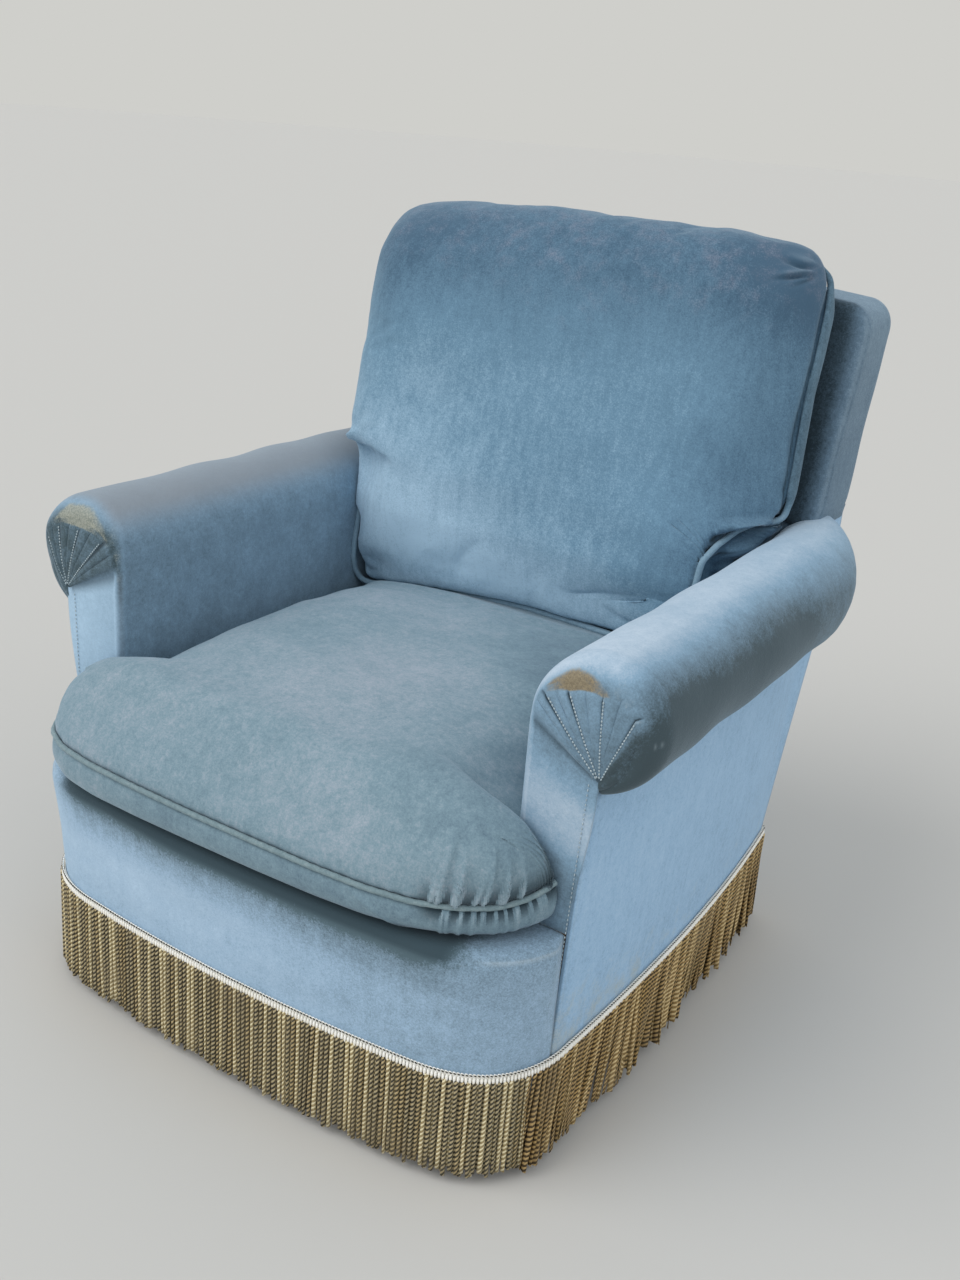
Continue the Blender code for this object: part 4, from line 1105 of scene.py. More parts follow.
def drawnOver(points, sewn, wanted, reach, blend=0.014, batch=8000):
    # each point moves by the mean of the seam's moves near it, less and less away from the seam
    sewn, moves = sewn[::3], (wanted - sewn)[::3]
    moved = points.copy()
    for first in range(0, len(points), batch):
        part = slice(first, first + batch)
        squared = ((points[part, None, :] - sewn[None]) ** 2).sum(axis=2)
        nearest = squared.min(axis=1)
        weights = np.exp(-(squared - nearest[:, None]) / (2 * blend**2))
        mean = weights @ moves / weights.sum(axis=1)[:, None]
        moved[part] += mean * np.exp(-nearest / reach**2)[:, None]
    return moved


def ridgesAlong(first, last, count, seed, height, width, length, tilt, shuffle=0.28):
    random = np.random.default_rng(seed)
    spots = np.linspace(first, last, count) + random.uniform(-1, 1, count) * (last - first) / count * shuffle
    ridges = []
    for spot in spots:
        sizes = width * random.uniform(0.8, 1.3), length * random.uniform(0.55, 1.2)
        ridges.append((spot, *sizes, tilt * random.uniform(0.5, 1.5), height * random.uniform(0.6, 1.2)))
    return ridges


def ridgeHeight(along, away, ridges):
    total = np.zeros(len(along))
    for spot, width, length, tilt, height in ridges:
        across = (along - spot - tilt * away) / (width * (1 + away * 14))
        fading = smoothStep(-0.001, 0.005, away) * (1 - smoothStep(length * 0.2, length, away))
        total += height * np.exp(-(across**2)) * fading
    return total


def spots(points, table):
    return sum(amount * spotOn(points, centre, radii) for amount, centre, radii in table)


def pipe(name, seam, outwards, thick, wide, closed, sides=10):
    # a covered cord: thick is half its height out from the seam, wide half its width along the cloth
    seam = np.asarray(seam, float)
    if closed:
        tangent = np.roll(seam, -1, 0) - np.roll(seam, 1, 0)
    else:
        tangent = np.gradient(seam, axis=0)
    tangent /= np.linalg.norm(tangent, axis=1)[:, None]
    outwards = np.asarray(outwards, float)
    outwards = outwards - tangent * (outwards * tangent).sum(axis=1)[:, None]
    outwards /= np.linalg.norm(outwards, axis=1)[:, None]
    sideways = np.cross(tangent, outwards)
    wide = np.broadcast_to(wide, len(seam))[:, None]
    thick = np.broadcast_to(thick, len(seam))[:, None]
    rows = []
    for angle in np.linspace(0, math.tau, sides, endpoint=False):
        rows.append(seam + outwards * thick * math.cos(angle) + sideways * wide * math.sin(angle))
    rows = np.stack(rows, axis=1)
    if closed:
        rows = np.concatenate([rows, rows[:1]])
    obj = gridObject(name, rows, closed=True, caps=(not closed, not closed))
    if closed:
        shape = bmesh.new()
        shape.from_mesh(obj.data)
        bmesh.ops.recalc_face_normals(shape, faces=shape.faces)
        shape.to_mesh(obj.data)
        shape.free()
    return obj


seatCushion = {
    "voxel": 0.0066,
    "softening": 8,
    "slack": 0.006,
    "pressure": 4.0,
    "cap": 0.014,
    "fill": 0.75,
    "pipingRadius": 0.0031,
    "lowerWall": 0.050,  # how far back the underside starts to round up to the seam
    "lowerBulge": 0.006,
    "lift": 0.0008,  # clear of the deck
    # the seam across the front and round the two front corners: x, depth, z
    "seam": (
        (-0.322, 0.006, 0.347),
        (-0.319, -0.034, 0.345),
        (-0.308, -0.072, 0.344),
        (-0.286, -0.101, 0.344),
        (-0.250, -0.119, 0.343),
        (-0.200, -0.127, 0.342),
        (-0.130, -0.129, 0.340),
        (-0.050, -0.129, 0.338),
        (0.040, -0.128, 0.337),
        (0.120, -0.125, 0.335),
        (0.180, -0.119, 0.333),
        (0.230, -0.107, 0.331),
        (0.270, -0.088, 0.331),
        (0.301, -0.064, 0.332),
        (0.318, -0.040, 0.336),
        (0.327, -0.022, 0.341),
        (0.332, -0.006, 0.346),
    ),
    "gathersFrom": 0.240,  # x where the gathers of the right corner begin
    # count, seed, height, width, length, slant and shuffle of the gathers
    "upperGathers": (9, 4, 0.0043, 0.0025, 0.084, 0.22, 0.50),
    "lowerGathers": (12, 9, 0.0032, 0.0019, 0.050, -0.05, 0.55),
    "faintGathers": (34, 2, 0.0011, 0.0042, 0.022, 0.0),
    "slackFold": (0.0050, 0.070, 1.9, 0.0022),  # width, length, slant, height
    "slackFoldX": 0.150,
    # where the pile is paler or darker: amount, place as x, depth, z, radii; the dark ones, towards the right
    # arm, are painted shade
    "tones": (
        (0.50, (0.05, 0.10, 0.43), (0.17, 0.13, 0.2)),
        (0.15, (-0.12, -0.02, 0.42), (0.12, 0.05, 0.2)),
        (0.35, (-0.10, 0.32, 0.43), (0.10, 0.05, 0.2)),
        (-0.60, (0.20, 0.30, 0.42), (0.10, 0.15, 0.2)),
        (0.35, (-0.20, -0.11, 0.31), (0.15, 0.05, 0.04)),
        (-0.2, (0.22, -0.05, 0.40), (0.12, 0.06, 0.05)),
        (0.3, (0.20, -0.09, 0.37), (0.08, 0.05, 0.05)),
        (-0.2, (0.24, 0.33, 0.43), (0.05, 0.08, 0.2)),
    ),
    "look": {"shade": "#536878", "mid": "#7a929e", "pale": "#a8afba", "patches": 1.0, "clouds": 0.7},
    "pipingLook": {"shade": "#52666e", "mid": "#7b8f95", "pale": "#a2b0b2", "sheen": 0.3},
}


def seatTopUnderBack(x, depth):  # the back cushion sits on the rear of the seat, lower at its left corner
    rest = 0.4180 - 0.025 * smoothStep(-0.08, -0.24, x) - 0.012 * smoothStep(0.470, 0.50, depth)
    return 0.448 + (rest - 0.448) * smoothStep(0.372, 0.458, depth)


def keepSeatClear(points):
    x, depth, z = points[:, 0], points[:, 1] - armFrontY, points[:, 2]
    between = depth > -0.0035
    points[:, 0] = np.where(between, np.clip(x, -0.2785, 0.2785), x)
    # the ears stop just in front of the arm faces
    free = ~between | (abs(x) < 0.2790)
    points[:, 1] = np.where(free, points[:, 1], np.minimum(points[:, 1], yAt(-0.0035)))
    points[:, 2] = np.maximum(z, deckZ + seatCushion["lift"])
    lowered = np.minimum(points[:, 2], seatTopUnderBack(x, depth))
    points[:, 2] = np.where(depth > 0.37, lowered, points[:, 2])
    return points


def fullUnder(points, seam, outwards, look):
    # the lower cloth hangs full below the seam and turns in sharply on the deck
    finder = nearestOf([(x, y, 0) for x, y, z in seam])
    wall, floor = look["lowerWall"], deckZ + look["lift"]
    for i in np.flatnonzero(points[:, 2] < 0.350):
        x, y, z = points[i]
        nearest = finder.find((x, y, 0))[1]
        seamZ, outward = seam[nearest, 2], outwards[nearest, :2]
        out = float((points[i, :2] - seam[nearest, :2]) @ outward)
        if z > seamZ or out < -wall:
            points[i, 2] = z if z > seamZ else floor + (z - floor) * 0.15
            continue
        angle = math.atan2((seamZ - z) / (seamZ - floor), max((out + wall) / wall, 1e-6))
        reach = (abs(math.cos(angle)) ** 3.0 + abs(math.sin(angle)) ** 3.0) ** (-1 / 3.0)
        wanted = (reach * math.cos(angle) - 1) * wall + look["lowerBulge"] * math.sin(2 * angle)
        points[i, :2] += outward * (wanted - out)
        points[i, 2] = seamZ - min(reach * math.sin(angle), 1.0) * (seamZ - floor)
    return points


def makeSeatCushion(look, material, pipingMaterial):
    obj = stuffed("seatCushion", "seat_cushion", look)
    refined(obj, (0.285, -0.055, 0.335), (0.100, 0.085, 0.065))
    seam = smoothed(resample([(x, yAt(depth), z) for x, depth, z in look["seam"]], 420), 30)
    outwards = np.column_stack([offsetPath(seam[:, :2], 1.0) - seam[:, :2], np.zeros(len(seam))])
    surface = smoothed(laidOn(obj, seam - outwards * 0.03, outwards), 25)
    seam = seam - outwards * 0.002
    points = pointsOf(obj)
    index, away = nearSeam(points, surface, 0.09)
    # the front follows the sewn line, most of all near it
    pull = (seam - surface)[index] * bell(away, 0, 0.045)[:, None]
    points = fullUnder(points + pull, seam, outwards, look)
    place(obj, points)
    normals = normalsOf(obj)
    index, away = nearSeam(points, seam, 0.07)
    above = points[:, 2] > seam[index, 2]
    lengths = arcLengths(seam)
    along = lengths[index]
    first, last = float(np.interp(look["gathersFrom"], seam[:, 0], lengths)), lengths[-1] - 0.030
    upper = ridgesAlong(first, last - 0.016, *look["upperGathers"])
    lower = ridgesAlong(first + 0.016, last + 0.018, *look["lowerGathers"])
    faint = ridgesAlong(0.03, first - 0.02, *look["faintGathers"])
    slack = [(float(np.interp(look["slackFoldX"], seam[:, 0], lengths)), *look["slackFold"])]
    ridges = np.where(above, ridgeHeight(along, away, upper), ridgeHeight(along, away, lower))
    height = ridges + ridgeHeight(along, away, faint) + ridgeHeight(along, away, slack) * ~above
    height -= 0.0030 * bell(away, 0, 0.0055)
    top = smoothStep(0.36, 0.41, points[:, 2])
    x, depth = points[:, 0], points[:, 1] - armFrontY
    height += top * (ripples(points, 0.15, 21) * 0.0018 + ripples(points, 0.05, 22) * 0.0005)
    height -= top * 0.004 * bell(x, 0, 0.15) * bell(depth, 0.20, 0.15)  # sat hollow in the middle
    points = keepSeatClear(points + normals * height[:, None])
    filled = smoothStep(0.395, 0.440, depth) * (1 - smoothStep(0.50, 0.54, depth))
    filled *= smoothStep(0.2, 0.6, normals[:, 2]) * top
    points[:, 2] += (seatTopUnderBack(points[:, 0], depth) - points[:, 2]) * filled
    place(obj, points)
    x, z = points[:, 0], points[:, 2]
    # darker on the boxing below the seam; painted shade in the crevices beside the arms, and painted shadow
    # under the cushion where it sits on the deck
    tone = spots(points, look["tones"]) - 0.25 * smoothStep(0.02, -0.08, depth) * ~above
    tone -= 0.35 * smoothStep(0.24, 0.28, abs(x)) * smoothStep(-0.02, 0.02, depth)
    mark(obj, "tone", tone - 0.9 * smoothStep(0.306, 0.294, z))
    # the gathers at the right corner: painted highlights on the ridges and painted shade in the valleys;
    # painted shade along the seam and under the cushion
    gathered = smoothStep(first - 0.02, first + 0.01, along) * bell(away, 0, 0.030)
    gathered *= np.where(above, smoothStep(0.050, 0.012, away), smoothStep(0.030, 0.008, away))
    ridgeLightAndShade = 0.40 * smoothStep(0.0012, 0.0034, ridges) - 0.75 * smoothStep(0.0013, 0.0003, ridges)
    worn = gathered * ridgeLightAndShade * smoothStep(0.002, 0.006, away) - 0.55 * bell(away, 0, 0.0050)
    mark(obj, "wear", worn - 0.8 * smoothStep(0.303, 0.294, z))
    finishPiece(obj, material, ("seat_cushion",))
    line = seam + outwards * (look["pipingRadius"] * 0.35)
    radius = look["pipingRadius"] * (1 + 0.05 * np.sin(np.arange(len(line)) * 0.9))
    cord = pipe("seatPiping", line, outwards, radius, radius, closed=False)
    finishPiece(cord, pipingMaterial, ("seat_cushion_piping",))


backCushion = {
    "voxel": 0.0066,
    "softening": 8,
    "slack": 0.006,
    "pressure": 4.0,
    "cap": 0.012,
    "fill": 0.8,
    "pipingRadius": 0.0042,
    # the sewn edge from the middle of the bottom: x, height, distance in front of the chair back
    "rightEdge": (
        (0.000, 0.4215, 0.098),
        (0.070, 0.4215, 0.100),
        (0.140, 0.4220, 0.106),
        (0.205, 0.4250, 0.116),
        (0.237, 0.4380, 0.130),
        (0.248, 0.4650, 0.144),
        (0.251, 0.5000, 0.153),
        (0.252, 0.5300, 0.157),
        (0.253, 0.5540, 0.158),
        (0.257, 0.5680, 0.130),
        (0.264, 0.5800, 0.090),
        (0.277, 0.5860, 0.058),
        (0.293, 0.5865, 0.046),
        (0.303, 0.5930, 0.040),
        (0.306, 0.6120, 0.040),
        (0.305, 0.6600, 0.042),
        (0.303, 0.7450, 0.048),
        (0.304, 0.7900, 0.046),
        (0.302, 0.8400, 0.040),
        (0.294, 0.8780, 0.038),
        (0.274, 0.9000, 0.040),
        (0.235, 0.9110, 0.042),
        (0.150, 0.9160, 0.043),
        (0.000, 0.9160, 0.043),
    ),
    "leftEdge": (
        (-0.090, 0.4195, 0.106),
        (-0.160, 0.4120, 0.110),
        (-0.215, 0.4010, 0.106),
        (-0.252, 0.3925, 0.098),
        (-0.270, 0.3940, 0.096),
        (-0.2755, 0.4080, 0.108),
        (-0.276, 0.4300, 0.120),
        (-0.275, 0.4600, 0.127),
        (-0.2745, 0.4950, 0.131),
        (-0.277, 0.5300, 0.131),
        (-0.2835, 0.5650, 0.124),
        (-0.290, 0.6050, 0.110),
        (-0.295, 0.6700, 0.088),
        (-0.296, 0.7600, 0.068),
        (-0.293, 0.8350, 0.056),
        (-0.283, 0.8780, 0.048),
        (-0.260, 0.9020, 0.045),
        (-0.220, 0.9130, 0.044),
        (-0.120, 0.9160, 0.043),
    ),
    "lean": -0.040,
    "sideOut": 0.021,
    "sideForward": 0.012,
    # x, how much the top rises there
    "topLift": (
        (-0.305, -0.270, -0.180, -0.100, 0.000, 0.150, 0.210, 0.250, 0.305),
        (0.000, 0.002, 0.006, 0.012, 0.016, 0.018, 0.012, 0.006, 0.000),
    ),
    # height, how far out it may come there: on the right beside the roll, on the left beside and over it
    "rightLimit": (
        (0.40, 0.515, 0.535, 0.555, 0.570, 0.585, 0.62),
        (0.2785, 0.2785, 0.2820, 0.2880, 0.2950, 0.3060, 0.3300),
    ),
    "leftLimit": (
        (0.40, 0.515, 0.555, 0.60, 0.64, 0.70, 0.80, 0.90),
        (0.2785, 0.2785, 0.2850, 0.2915, 0.3020, 0.3120, 0.3180, 0.318),
    ),
    "leftBearing": ((0.50, 0.54, 0.57, 0.60, 0.64), (0.2768, 0.2805, 0.2855, 0.2910, 0.2990)),
    # the pinched upper right corner, x and z, and its folds: degrees, length, depth
    "pinch": (0.284, 0.888),
    "pinchFolds": ((16, 0.060, 0.0046), (-12, 0.055, 0.0050), (40, 0.042, 0.0034), (-34, 0.036, 0.0022)),
    "puckers": (90, 6, 0.0008, 0.0040, 0.026, 0.0),
    "sideFolds": 0.0125,  # spacing of the folds in the side by the right roll
    # where the cushion is paler or darker: amount, place as x, depth, z, radii; the pale ones low down and to
    # the left are painted light
    "tones": (
        (0.92, (-0.17, 0.45, 0.50), (0.17, 0.3, 0.10)),
        (0.75, (0.05, 0.45, 0.46), (0.16, 0.3, 0.05)),
        (0.35, (-0.22, 0.50, 0.62), (0.10, 0.3, 0.12)),
        (-0.35, (-0.26, 0.5, 0.80), (0.07, 0.3, 0.10)),
    ),
    "look": {
        "shade": "#466177",
        "mid": "#6d8fa6",
        "pale": "#acc8dc",
        "patches": 0.4,
        "clouds": 0.2,
        "streaks": 0.6,
        "nap": 0.6,
        "soil": "#83899a",
        "soilDark": "#6a6f80",
    },
    "pipingLook": {"shade": "#3d5362", "mid": "#6a8698", "pale": "#86a2b4", "sheen": 0.3},
}


def fullerTop(points):  # plump filling lifts the top, least of all near the left corner
    lifted = points.copy()
    lift = np.interp(points[:, 0], *backCushion["topLift"])
    lifted[:, 2] += lift * smoothStep(0.70, 0.885, points[:, 2])
    return lifted


def fullerSide(points):  # above the arm the filling bears the left front edge out and forward
    moved = points.copy()
    x, z = points[:, 0], points[:, 2]
    share = smoothStep(-0.14, -0.28, x) * smoothStep(0.565, 0.640, z)
    share *= 1 - 0.35 * smoothStep(0.82, 0.92, z)
    moved[:, 0] -= backCushion["sideOut"] * share
    inFront = smoothStep(0.03, 0.08, yAt(faceDepth(z)) - points[:, 1])
    moved[:, 1] -= backCushion["sideForward"] * share * inFront
    return moved


def keepBackClear(points):
    x, z = points[:, 0], points[:, 2]
    left, right = (np.interp(z, *backCushion[key]) for key in ("leftLimit", "rightLimit"))
    points[:, 0] = np.clip(x, -left, right)
    points[:, 1] = np.minimum(points[:, 1], yAt(faceDepth(z) - 0.0008))
    points[:, 2] = np.maximum(z, 0.4155 - 0.026 * smoothStep(-0.08, -0.24, x))
    return points


def backSeam(look):  # the closed sewn edge and which way is outwards from it
    loop = np.concatenate([np.array(look["rightEdge"]), np.array(look["leftEdge"])[::-1]])
    x, z, forward = loop.T
    x = x + look["lean"] * (z - 0.55) * smoothStep(0.56, 0.61, z)
    targets = np.column_stack([x, yAt(faceDepth(z) - forward), z])
    targets = np.concatenate([targets, targets[:1]])
    seam = smoothed(resample(targets, 1101)[:-1], 8, closed=True)
    tangent = np.roll(seam, -1, 0) - np.roll(seam, 1, 0)
    outwards = np.column_stack([tangent[:, 2], np.zeros(len(seam)), -tangent[:, 0]])
    outwards = smoothed(outwards / np.linalg.norm(outwards, axis=1)[:, None], 30, closed=True)
    middle = np.array([0, yAt(0.5), 0.66])
    outwards *= np.sign(((seam - middle) * outwards).sum(axis=1))[:, None]
    outwards[:, 1] -= 1.3 * (1 - smoothStep(0.425, 0.47, seam[:, 2]))
    outwards /= np.linalg.norm(outwards, axis=1)[:, None]
    return seam, outwards


def besideRolls(points, seam, look, obj):
    # below the seam the lower right side lies against the roll
    away = nearSeam(points, seam, 0.07)[1]
    normals = normalsOf(obj)
    x, depth, z = points[:, 0], points[:, 1] - armFrontY, points[:, 2]
    leaning = smoothStep(0.007, 0.018, away) * smoothStep(0.465, 0.52, depth)
    leaning *= smoothStep(0.49, 0.54, z) * smoothStep(0.60, 0.588, z)
    leaning *= smoothStep(0.2, 0.6, normals[:, 0]) * smoothStep(0.24, 0.255, x)
    points[:, 0] += (np.interp(z, *look["rightLimit"]) - 0.001 - x) * leaning
    # the left side bears out over the other roll without a step
    onLeft = smoothStep(0.1, 0.5, -normals[:, 0] - normals[:, 2]) * smoothStep(0.258, 0.268, -points[:, 0])
    onLeft *= smoothStep(0.49, 0.51, z) * smoothStep(0.625, 0.605, z)
    points[:, 0] -= np.maximum(np.interp(z, *look["leftBearing"]) + points[:, 0], 0) * onLeft
    return points


def makeBackCushion(look, material, pipingMaterial):
    obj = stuffed("backCushion", "back_cushion", look)
    seam, outwards = backSeam(look)
    surface = smoothed(laidOn(obj, seam - outwards * 0.02, outwards), 10, closed=True)
    # over the top and down the upper left edge the seam lies where the filling puts it
    overLeft = smoothStep(0.63, 0.71, seam[:, 2]) * (seam[:, 0] < 0)
    free = np.maximum(smoothStep(0.874, 0.900, seam[:, 2]), overLeft)
    free = smoothed(free[:, None], 20, closed=True)
    settledSeam = smoothed(surface, 60, closed=True)
    settledSeam[:, 0] = np.clip(settledSeam[:, 0], -0.297, 0.300)
    seam = smoothed(seam + (settledSeam - seam) * free, 6, closed=True)
    refined(obj, (0.262, faceDepth(0.875) - 0.08, 0.872), (0.085, 0.070, 0.065))
    refined(obj, (0.265, faceDepth(0.52) - 0.11, 0.520), (0.040, 0.080, 0.075), cuts=1)
    points = drawnOver(pointsOf(obj), surface, seam, 0.036)
    points = keepBackClear(fullerSide(fullerTop(points)))
    seam = fullerSide(fullerTop(seam))
    place(obj, points)
    points = besideRolls(points, seam, look, obj)
    place(obj, points)
    normals = normalsOf(obj)
    index, away = nearSeam(points, seam, 0.07)
    facing = smoothStep(0.1, -0.45, normals[:, 1])
    # down the right side the piping lies broad, as a strip
    strip = smoothStep(0.600, 0.63, seam[:, 2]) * (1 - smoothStep(0.83, 0.88, seam[:, 2])) * (seam[:, 0] > 0)
    halfWide = look["pipingRadius"] * (1 + 2.4 * strip)
    clear = away - halfWide[index]
    # the cloth dips just before the piping and puckers a little
    height = -0.0040 * bell(clear, 0, 0.0065) * (0.7 + 0.3 * facing)
    lengths = arcLengths(seam)
    puckers = ridgesAlong(0.05, lengths[-1] - 0.05, *look["puckers"])
    height += ridgeHeight(lengths[index], away, puckers) * facing
    height += ripples(points, 0.17, 40) * 0.0017 + ripples(points, 0.06, 41) * 0.0006
    x, z = points[:, 0], points[:, 2]
    fromCorner = np.column_stack([x, z]) - look["pinch"]
    reach = np.linalg.norm(fromCorner, axis=1)
    direction = np.degrees(np.arctan2(fromCorner[:, 1], -fromCorner[:, 0]))
    pinched = np.zeros(len(points))
    for degrees, length, depth in look["pinchFolds"]:
        across = np.radians(direction - degrees) * reach
        dip = bell(across, 0, 0.0030) - 0.6 * bell(across, 0.0055, 0.0035)
        shown = smoothStep(0.004, 0.014, reach) * (1 - smoothStep(length * 0.4, length, reach)) * facing
        height -= depth * dip * shown
        pinched -= 0.4 * dip * shown
    wallSide = smoothStep(0.245, 0.254, x) * smoothStep(0.600, 0.585, z)
    wallSide *= smoothStep(0.35, 0.70, normals[:, 0])
    slanting = (z - 0.35 * (points[:, 1] - armFrontY)) * math.tau / look["sideFolds"]
    folds = np.sin(slanting + 1.3 * ripples(points, 0.05, 9))
    height += wallSide * 0.0022 * folds
    points = keepBackClear(points + normals * height[:, None])
    place(obj, points)
    # darker over the top; painted shade towards the right, on the sides next to the chair back and on the
    # side beside the roll
    fromBack = faceDepth(z) - (points[:, 1] - armFrontY)
    shadedRearSide = smoothStep(0.036, 0.020, fromBack) * smoothStep(0.3, 0.6, abs(normals[:, 0]))
    tone = spots(points, look["tones"]) - 0.75 * smoothStep(0.74, 0.90, z)
    mark(obj, "tone", tone - 0.50 * smoothStep(0.12, 0.29, x) - 0.9 * shadedRearSide - 0.9 * wallSide)
    # painted shade in the dip beside the piping and in the folds of the pinched corner, with a painted
    # highlight beside each, and in the folds of the side by the roll
    onStrip = strip[index]
    crease = 0.5 * bell(clear, 0, 0.0034) * (1 - 0.5 * onStrip)
    crease += 0.45 * onStrip * facing * bell(clear, 0, 0.0025)
    mark(obj, "wear", pinched - wallSide * (0.20 + 0.60 * smoothStep(0.2, -0.8, folds)) - crease)
    grimy = 0.10 * spotOn(points, (0.0, 0.5, 0.8), (0.15, 0.3, 0.08))
    mark(obj, "soil", 0.26 * smoothStep(0.78, 0.91, z) + grimy)
    finishPiece(obj, material, ("back_cushion",))
    line = seam + outwards * look["pipingRadius"] * (0.25 + 0.20 * strip[:, None] - 0.85 * free)
    line[:, 1] = np.minimum(line[:, 1], yAt(faceDepth(line[:, 2]) - 0.006 - halfWide * strip))
    cord = pipe("backPiping", line, outwards, look["pipingRadius"], halfWide, closed=True)
    mark(cord, "tone", 0.75 - 1.25 * smoothStep(0.59, 0.62, pointsOf(cord)[:, 2]))
    finishPiece(cord, pipingMaterial, ("back_cushion_piping",))


seatVelvet = velvet("worn blue cotton velvet, seat cushion", seatCushion["look"])
makeSeatCushion(seatCushion, seatVelvet, velvet("worn velvet piping", seatCushion["pipingLook"]))
print("seat cushion made")
backVelvet = velvet("blue cotton velvet, back cushion", backCushion["look"])
makeBackCushion(backCushion, backVelvet, velvet("velvet piping, back cushion", backCushion["pipingLook"]))
print("back cushion made")


# ---- fringe and seams, in rows along a path

rowInputs = (
    ("Spacing", "NodeSocketFloat", 0.0064),
    ("Size", "NodeSocketVector", (0.003, 0.003, 0.119)),
    ("Tilt", "NodeSocketFloat", 0.0),
    ("Uneven", "NodeSocketFloat", 0.05),
    ("Sway", "NodeSocketFloat", 0.0),
    ("Lean", "NodeSocketFloat", 0.0),
    ("Top", "NodeSocketFloat", 0.13),
    ("Seed", "NodeSocketInt", 1),
)


def rowTree(name, shapeKind, material):
    tree = bpy.data.node_groups.new(name, "GeometryNodeTree")
    tree.interface.new_socket("Geometry", in_out="INPUT", socket_type="NodeSocketGeometry")
    for label, kind, value in rowInputs:
        tree.interface.new_socket(label, in_out="INPUT", socket_type=kind).default_value = value
    tree.interface.new_socket("Geometry", in_out="OUTPUT", socket_type="NodeSocketGeometry")
    given = addNode(tree, "NodeGroupInput", output=None).outputs
    curve = addNode(tree, "GeometryNodeMeshToCurve", {0: given["Geometry"]})
    spaced = {"Curve": curve, "Length": given["Spacing"]}
    spaced = addNode(tree, "GeometryNodeResampleCurve", spaced, mode="LENGTH")
    dots = addNode(tree, "GeometryNodeCurveToPoints", {"Curve": spaced}, None, mode="EVALUATED").outputs
    upright = {"axis": "X", "pivot_axis": "Z" if shapeKind == "cord" else "AUTO"}
    turned = addNode(tree, "FunctionNodeAlignRotationToVector", {"Vector": dots["Tangent"]}, **upright)
    if shapeKind == "cord":
        size = addNode(tree, "ShaderNodeSeparateXYZ", {0: given["Size"]}, None).outputs
        cord = {"Vertices": 6, "Side Segments": 8, "Radius": size["X"], "Depth": size["Z"]}
        shape = addNode(tree, "GeometryNodeMeshCylinder", cord)
        half = addNode(tree, "ShaderNodeMath", {0: size["Z"], 1: -0.5}, operation="MULTIPLY")
        hung = {"Geometry": shape, "Translation": addNode(tree, "ShaderNodeCombineXYZ", {"Z": half})}
        shape = addNode(tree, "GeometryNodeTransform", hung)
        spin = {2: 0.0, 3: math.tau, "Seed": given["Seed"]}
        spin = addNode(tree, "FunctionNodeRandomValue", spin, 1, data_type="FLOAT")
        euler = addNode(tree, "ShaderNodeCombineXYZ", {"Z": spin})
    else:
        shape = addNode(tree, "GeometryNodeMeshUVSphere", {"Segments": 8, "Rings": 5, "Radius": 1.0})
        shape = addNode(tree, "GeometryNodeTransform", {"Geometry": shape, "Scale": given["Size"]})
        euler = addNode(tree, "ShaderNodeCombineXYZ", {"Y": given["Tilt"]})
    spot = addNode(tree, "GeometryNodeInputPosition")
    kept = {"Geometry": shape, "Name": "cordPlace", "Value": spot}
    onPoints = {"data_type": "FLOAT_VECTOR", "domain": "POINT"}
    kept = addNode(tree, "GeometryNodeStoreNamedAttribute", kept, **onPoints)
    twist = {"Rotation": turned, "Rotate By": addNode(tree, "FunctionNodeEulerToRotation", {0: euler})}
    turned = addNode(tree, "FunctionNodeRotateRotation", twist, rotation_space="LOCAL")
    least = addNode(tree, "ShaderNodeMath", {0: 1.0, 1: given["Uneven"]}, operation="SUBTRACT")
    length = {2: least, 3: 1.0, "Seed": given["Seed"]}
    length = addNode(tree, "FunctionNodeRandomValue", length, 1, data_type="FLOAT")
    scale = addNode(tree, "ShaderNodeCombineXYZ", {"X": 1.0, "Y": 1.0, "Z": length})
    copies = {"Points": dots["Points"], "Instance": kept, "Rotation": turned, "Scale": scale}
    copies = addNode(tree, "GeometryNodeInstanceOnPoints", copies)
    # tone: the cord's place in a repeat of seven in two, with a little chance
    order = addNode(tree, "GeometryNodeInputIndex")
    jitter = addNode(tree, "FunctionNodeRandomValue", {2: -0.16, 3: 0.16, "Seed": 7}, 1, data_type="FLOAT")
    tone = addNode(tree, "ShaderNodeMath", {0: order, 1: 0.2857}, operation="MULTIPLY")
    tone = addNode(tree, "ShaderNodeMath", {0: tone}, operation="FRACT")
    tone = addNode(tree, "ShaderNodeMath", {0: tone, 1: jitter}, operation="ADD")
    toned = {"Geometry": copies, "Name": "cordTone", "Value": tone}
    onCopies = {"data_type": "FLOAT", "domain": "INSTANCE"}
    toned = addNode(tree, "GeometryNodeStoreNamedAttribute", toned, **onCopies)
    real = addNode(tree, "GeometryNodeRealizeInstances", {0: toned})
    # the cords hang a little out of line, the more the lower down
    apart = addNode(tree, "ShaderNodeSeparateXYZ", {0: spot}, None).outputs
    below = addNode(tree, "ShaderNodeMath", {0: given["Top"], 1: apart["Z"]}, operation="SUBTRACT")
    vector = addNode(tree, "ShaderNodeVectorMath", {0: spot, 1: (1.0, 1.0, 0.06)}, operation="MULTIPLY")
    vector = addNode(tree, "ShaderNodeTexNoise", {"Vector": vector, "Scale": 60.0, "Detail": 1.0}, "Color")
    vector = addNode(tree, "ShaderNodeVectorMath", {0: vector, 1: (0.5, 0.5, 0.5)}, operation="SUBTRACT")
    vector = addNode(tree, "ShaderNodeVectorMath", {0: vector, 1: (1.0, 1.0, 0.0)}, operation="MULTIPLY")
    amount = addNode(tree, "ShaderNodeMath", {0: below, 1: given["Sway"]}, operation="MULTIPLY")
    vector = addNode(tree, "ShaderNodeVectorMath", {0: vector, "Scale": amount}, operation="SCALE")
